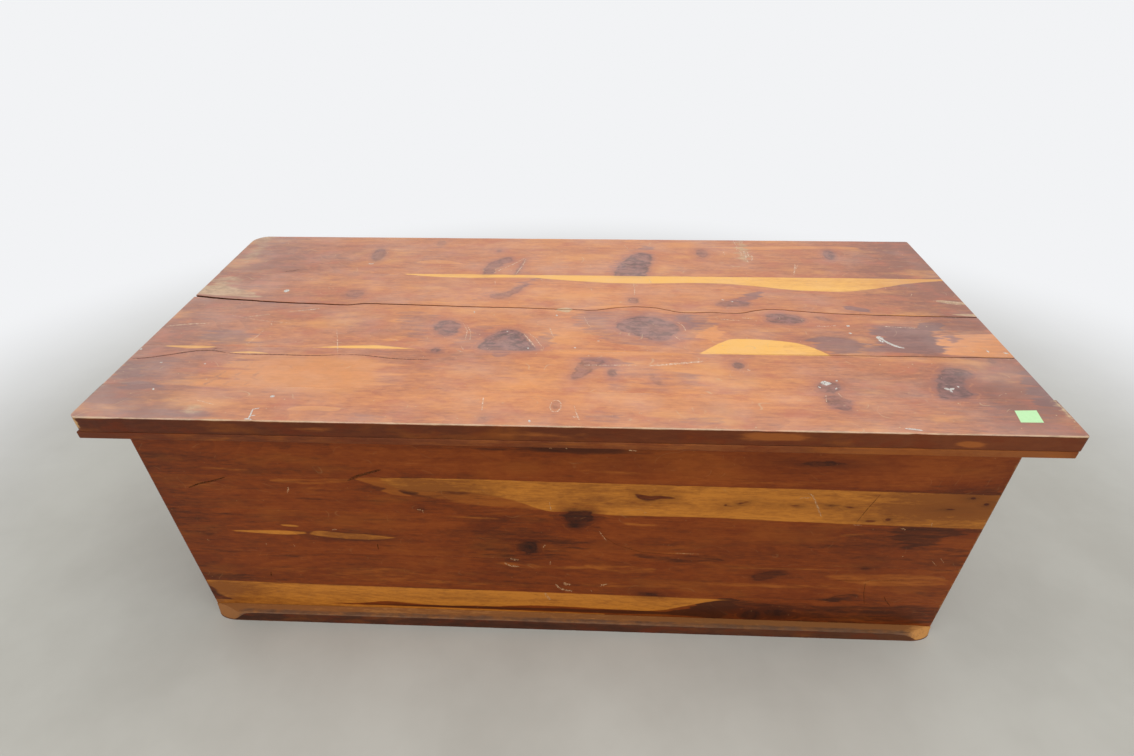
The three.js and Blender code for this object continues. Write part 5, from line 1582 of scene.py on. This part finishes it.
def screw_heads(name, centres, stand, size, materials, node):
    """Slotted screw heads with a dark ring of dirt and painted shade round each, as one piece; the centres are local to
    their stand.

    Along a station the outline is a chord of the head, at the height rim + crown * (1 - distance^2 / radius^2)
    or on the slot's floor, and comes back underneath. The ring is a square outline carried round a circle.
    """
    radius, rim, crown = size
    shares = HEAD_STATIONS[:, None]
    chord = np.cos(np.linspace(0, math.pi, 11))
    s = radius * shares + 0 * chord
    t = radius * np.sqrt(1 - shares**2) * chord
    top = rim + crown * (1 - (s**2 + t**2) / radius**2)
    top[SLOT_STATIONS, :] = min(rim, crown) * 0.4
    s, t, h = (np.concatenate(pair, axis=1) for pair in ((s, s[:, ::-1]), (t, t[:, ::-1]), (top, 0 * top - 0.1 * MM)))
    quads, ends = grid_faces(*s.shape)
    # The slot's floor takes the second finish: dirt and painted shade.
    slots = [int(q // s.shape[1] == SLOT_STATIONS[0]) for q in range(len(quads))] + [0, 0]
    turns = np.linspace(0, 2 * math.pi, 33)[:-1, None]
    ring_over = 0 * turns + RING_OVER
    ring = s.size + np.array(grid_faces(33, 4)[0]) % ring_over.size
    faces = quads + ends + ring.tolist()
    # The ring takes it too: painted shade and dirt where the head meets the plate.
    slots += [1] * len(ring)
    s = np.concatenate([s.ravel(), (RING_REACH * radius * np.sin(turns)).ravel()])
    t = np.concatenate([t.ravel(), (RING_REACH * radius * np.cos(turns)).ravel()])
    h = np.concatenate([h.ravel(), ring_over.ravel()])
    centres = np.array(centres)
    aim = np.random.default_rng(len(centres)).uniform(0, math.pi, len(centres))[:, None]
    along = centres[:, :1] + t * np.cos(aim) - s * np.sin(aim)
    across = centres[:, 1:2] + t * np.sin(aim) + s * np.cos(aim)
    points = stand.world(along, across, centres[:, 2:] + h).reshape(-1, 3)
    every = [[i + k * s.size for i in face] for k in range(len(centres)) for face in faces]
    new_piece(name, points, every, slots * len(centres), materials, node, replacing=False)


def on_node(stand, node, along, across, out=0):
    """A local place in a node's box, from shares of its first two spans, at its lowest or highest level."""
    spans = stand.span(*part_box(node))
    return [low + (high - low) * share for (low, high), share in zip(spans, (along, across, out))]


def make_screws(finishes):
    """Countersunk screws in the hinges and battens, and round-headed ones in the stays."""
    # The second finish of each set is the dark of slots and rings: dirt and painted shade.
    brass, steel = [finishes["brass"], finishes["grime"]], [finishes["steel"], finishes["grime"]]
    leaf_top, lid_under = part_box("back_board_top")[1][2], -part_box("lid_board_back")[0][2]
    for part, stand, level in (("case", FACES_UP, leaf_top), ("lid", FACES_DOWN, lid_under)):
        leaves = [f"hinge_{side}_{part}_leaf" for side in ("left", "middle", "right")]
        places = [[*on_node(stand, leaf, *spot)[:2], level] for leaf in leaves for spot in LEAF_ZIGZAG]
        screw_heads(f"hinge_{part}_screws", places, stand, COUNTERSUNK_SMALL, brass, leaves[0])
    places = []
    for batten in ("lid_batten_left", "lid_batten_middle", "lid_batten_right"):
        b0, b1 = FACES_DOWN.span(*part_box(batten))[1]
        aside = 0.7  # of the batten's width, by turns from either side
        for lid_board in LID_BOARDS:
            y0, y1 = FACES_DOWN.span(*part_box(lid_board))[1]
            y0, y1 = max(y0, b0), min(y1, b1)
            for share in (0.28, 0.72):
                aside = 1 - aside
                x, _, level = on_node(FACES_DOWN, batten, aside, 0, 1)
                places.append([x, y0 + (y1 - y0) * share, level])
    screw_heads("batten_screws", places, FACES_DOWN, COUNTERSUNK, brass, "hinge_left_lid_leaf")
    places = []
    for side, along in (("left", 0.62), ("right", 0.38)):
        node = f"stay_bracket_{side}"
        level = STAY_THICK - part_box(node)[1][2]
        places += [[*on_node(FACES_DOWN, node, along, across)[:2], level] for across in (0.17, 0.83)]
    screw_heads("stay_bracket_screws", places, FACES_DOWN, ROUND_HEADED, steel, "stay_bracket_left")
    for side, stand in (("left", FACES_RIGHT), ("right", FACES_LEFT)):
        node = f"stay_stud_plate_{side}"
        places = [np.add(on_node(stand, node, 0.5, across), (0, 0, STAY_THICK)) for across in (0.13, 0.48)]
        screw_heads(f"stay_plate_screws_{side}", places, stand, ROUND_HEADED, steel, node)


# Studio
FLOOR_REACH = 30.0
FLOOR_CLOUDS = (2.4, 5.0, 0.6)  # clouds to the metre, detail and roughness
FLOOR_GREYS = (shade(178, 175, 165), shade(190, 188, 178))
FLOOR_STRETCH = (1.0, 1.25, 1.0)  # how much each axis counts in a distance from the chest
FLOOR_WHITENS = (0.95, 1.9)  # the distances between which the floor turns into the backdrop
BACKDROP = shade(242, 243, 245)
AMBIENT = (0.93, 0.95, 1.0, 1.0)
AMBIENT_STRENGTH = 0.62
LAMPS = (  # name, place, what it faces, width and depth, watts
    ("overhead_light", (0.2, -0.3, 2.6), (0, 0, 0.3), (2.6, 2.0), 36),
    ("front_fill", (-0.5, -2.8, 1.2), (0, 0, 0.2), (2.6, 1.6), 26),
)


def seen_ray(nodes):
    """1 for what the camera sees, directly, in a gloss or through glass, and 0 for light on the chest."""
    seen = camera_ray = nodes.node("ShaderNodeLightPath", {}, {}, "Is Camera Ray")
    for ray in ("Is Glossy Ray", "Is Transmission Ray"):
        seen = seen.math("MAXIMUM", camera_ray.also(ray))
    return seen


def add_lamp(name, place, target, size, power):
    """A rectangular lamp that faces its target."""
    data = bpy.data.lights.new(name, "AREA")
    data.shape = "RECTANGLE"
    data.size, data.size_y = size
    data.energy = power
    lamp = bpy.data.objects.new(name, data)
    lamp.location = place
    lamp.rotation_euler = (Vector(target) - Vector(place)).to_track_quat("-Z", "Y").to_euler()
    bpy.context.scene.collection.objects.link(lamp)


def make_studio():
    """A pale floor that whitens into the distance, a soft overhead light, a weak front fill and a white world.

    The floor and the world show their own colour to the camera and in reflections, and otherwise light the
    chest plainly. The floor near the chest stays a real surface, with the chest's shadow on it.
    """
    mesh = bpy.data.meshes.new("studio_floor")
    corners = [(x * FLOOR_REACH, y * FLOOR_REACH, 0) for x, y in ((-1, -1), (1, -1), (1, 1), (-1, 1))]
    mesh.from_pydata(corners, [], [(0, 1, 2, 3)])
    floor = bpy.data.objects.new("studio_floor", mesh)
    finish = Finish("pale_floor")
    place = finish.object_place()
    from_chest = finish.vector("MULTIPLY", {0: place, 1: FLOOR_STRETCH})
    distance = finish.vector("LENGTH", {0: from_chest}, "Value")
    cloud = finish.noise(place, *FLOOR_CLOUDS)
    grey = finish.blend(cloud.smooth(0.3, 0.7), *FLOOR_GREYS)
    finish.finished(grey, 0.9, Specular_IOR_Level=0.2)
    seen = seen_ray(finish) * distance.smooth(*FLOOR_WHITENS)
    glow = finish.node("ShaderNodeEmission", {}, {"Color": BACKDROP, "Strength": 1.0})
    surface = Value(finish, finish.principled.outputs["BSDF"])
    mixed = finish.node("ShaderNodeMixShader", {}, {0: seen, 1: surface, 2: glow})
    finish.feed(finish.tree.nodes["Material Output"].inputs["Surface"], mixed)
    mesh.materials.append(finish.material)
    bpy.context.scene.collection.objects.link(floor)

    for lamp in LAMPS:
        add_lamp(*lamp)

    world = bpy.data.worlds.new("studio_world")
    world.use_nodes = True
    bpy.context.scene.world = world
    sky = Nodes(world.node_tree)
    ambient = world.node_tree.nodes["Background"]
    sky.feed(ambient.inputs["Color"], AMBIENT)
    sky.feed(ambient.inputs["Strength"], AMBIENT_STRENGTH)
    white = sky.node("ShaderNodeBackground", {}, {"Color": BACKDROP, "Strength": 1.0})
    mixed = sky.node("ShaderNodeMixShader", {}, {0: seen_ray(sky), 1: Value(sky, ambient.outputs[0]), 2: white})
    sky.feed(world.node_tree.nodes["World Output"].inputs["Surface"], mixed)
    bpy.context.scene.view_settings.view_transform = "Standard"


make_camera()
FINISHES = {
    # The lid's pale haze is partly dull varnish and partly painted sheen.
    "lid": cedar("worn_lid_cedar", LID_TONES, 0.4, sheen=0.5, coat=0.15, haze=0.2, contrast=0.76, variety=0.66,
                 dust=0.9, fray=0.35),
    "lid_end": cedar("lid_end_grain", EDGE_TONES, 0.55, end_grain=True),
    "lid_edge": cedar("lid_edge_cedar", EDGE_TONES, 0.5, contrast=0.6),
    "front": cedar("varnished_front_cedar", FRONT_TONES, 0.42, contrast=0.75, variety=0.42, dust=0.3),
    "front_end": cedar("front_end_grain", FRONT_TONES, 0.5, end_grain=True),
    "end": cedar("varnished_end_cedar", FRONT_TONES, 0.44, sheen=0.125, contrast=0.9),
    "back": cedar("plain_back_cedar", FRONT_TONES, 0.6),
    "lip": cedar("lip_cedar", LIP_TONES, 0.5, contrast=0.7),
    "base": cedar("base_cedar", BASE_TONES, 0.6, contrast=0.9),
    "bare": cedar("bare_cedar", BARE_TONES, 0.72, sheen=0.3),
    "bare_upright": bare_cad_finish("bare_upright_cedar", BARE_TONES, (1, 1, 0.04)),
    "bare_cross": bare_cad_finish("bare_cross_cedar", BARE_TONES, (1, 0.04, 1)),
    "brass": metal_finish("aged_brass", (196, 158, 90), (104, 82, 48)),
    "steel": metal_finish("old_plated_steel", (176, 174, 168), (112, 106, 98)),
    "paint": plain_finish("white_paint_spots", (208, 204, 196), (192, 184, 172), 0.6, (0.3, 0.5)),
    "scuff": plain_finish("pale_scuffs", (226, 204, 182), (206, 166, 134), 0.6, (0.46, 0.56)),
    "crack": plain_finish("dark_crack_lines", (70, 34, 26), (92, 48, 34), 0.7, (0.38, 0.48)),
    "gouge": plain_finish("dark_gouges", (64, 33, 15), (94, 52, 25), 0.7, (0.36, 0.5), sheen=0.05),
    "front_scuff": plain_finish("front_scuffs", (196, 160, 118), (170, 118, 74), 0.6, (0.46, 0.56)),
    # Dirt in screw slots and round the heads, which also paints their shade.
    "grime": plain_finish("dark_dirt_and_shade", (40, 30, 22), (58, 44, 32), 0.8),
    "label": plain_finish("blank_green_paper", (186, 226, 170), (182, 222, 166), 0.75),
}
for make in (make_lid, make_walls, make_inside, make_lips, make_base, make_marks, make_label, dress_cad, make_screws):
    make(FINISHES)
make_studio()
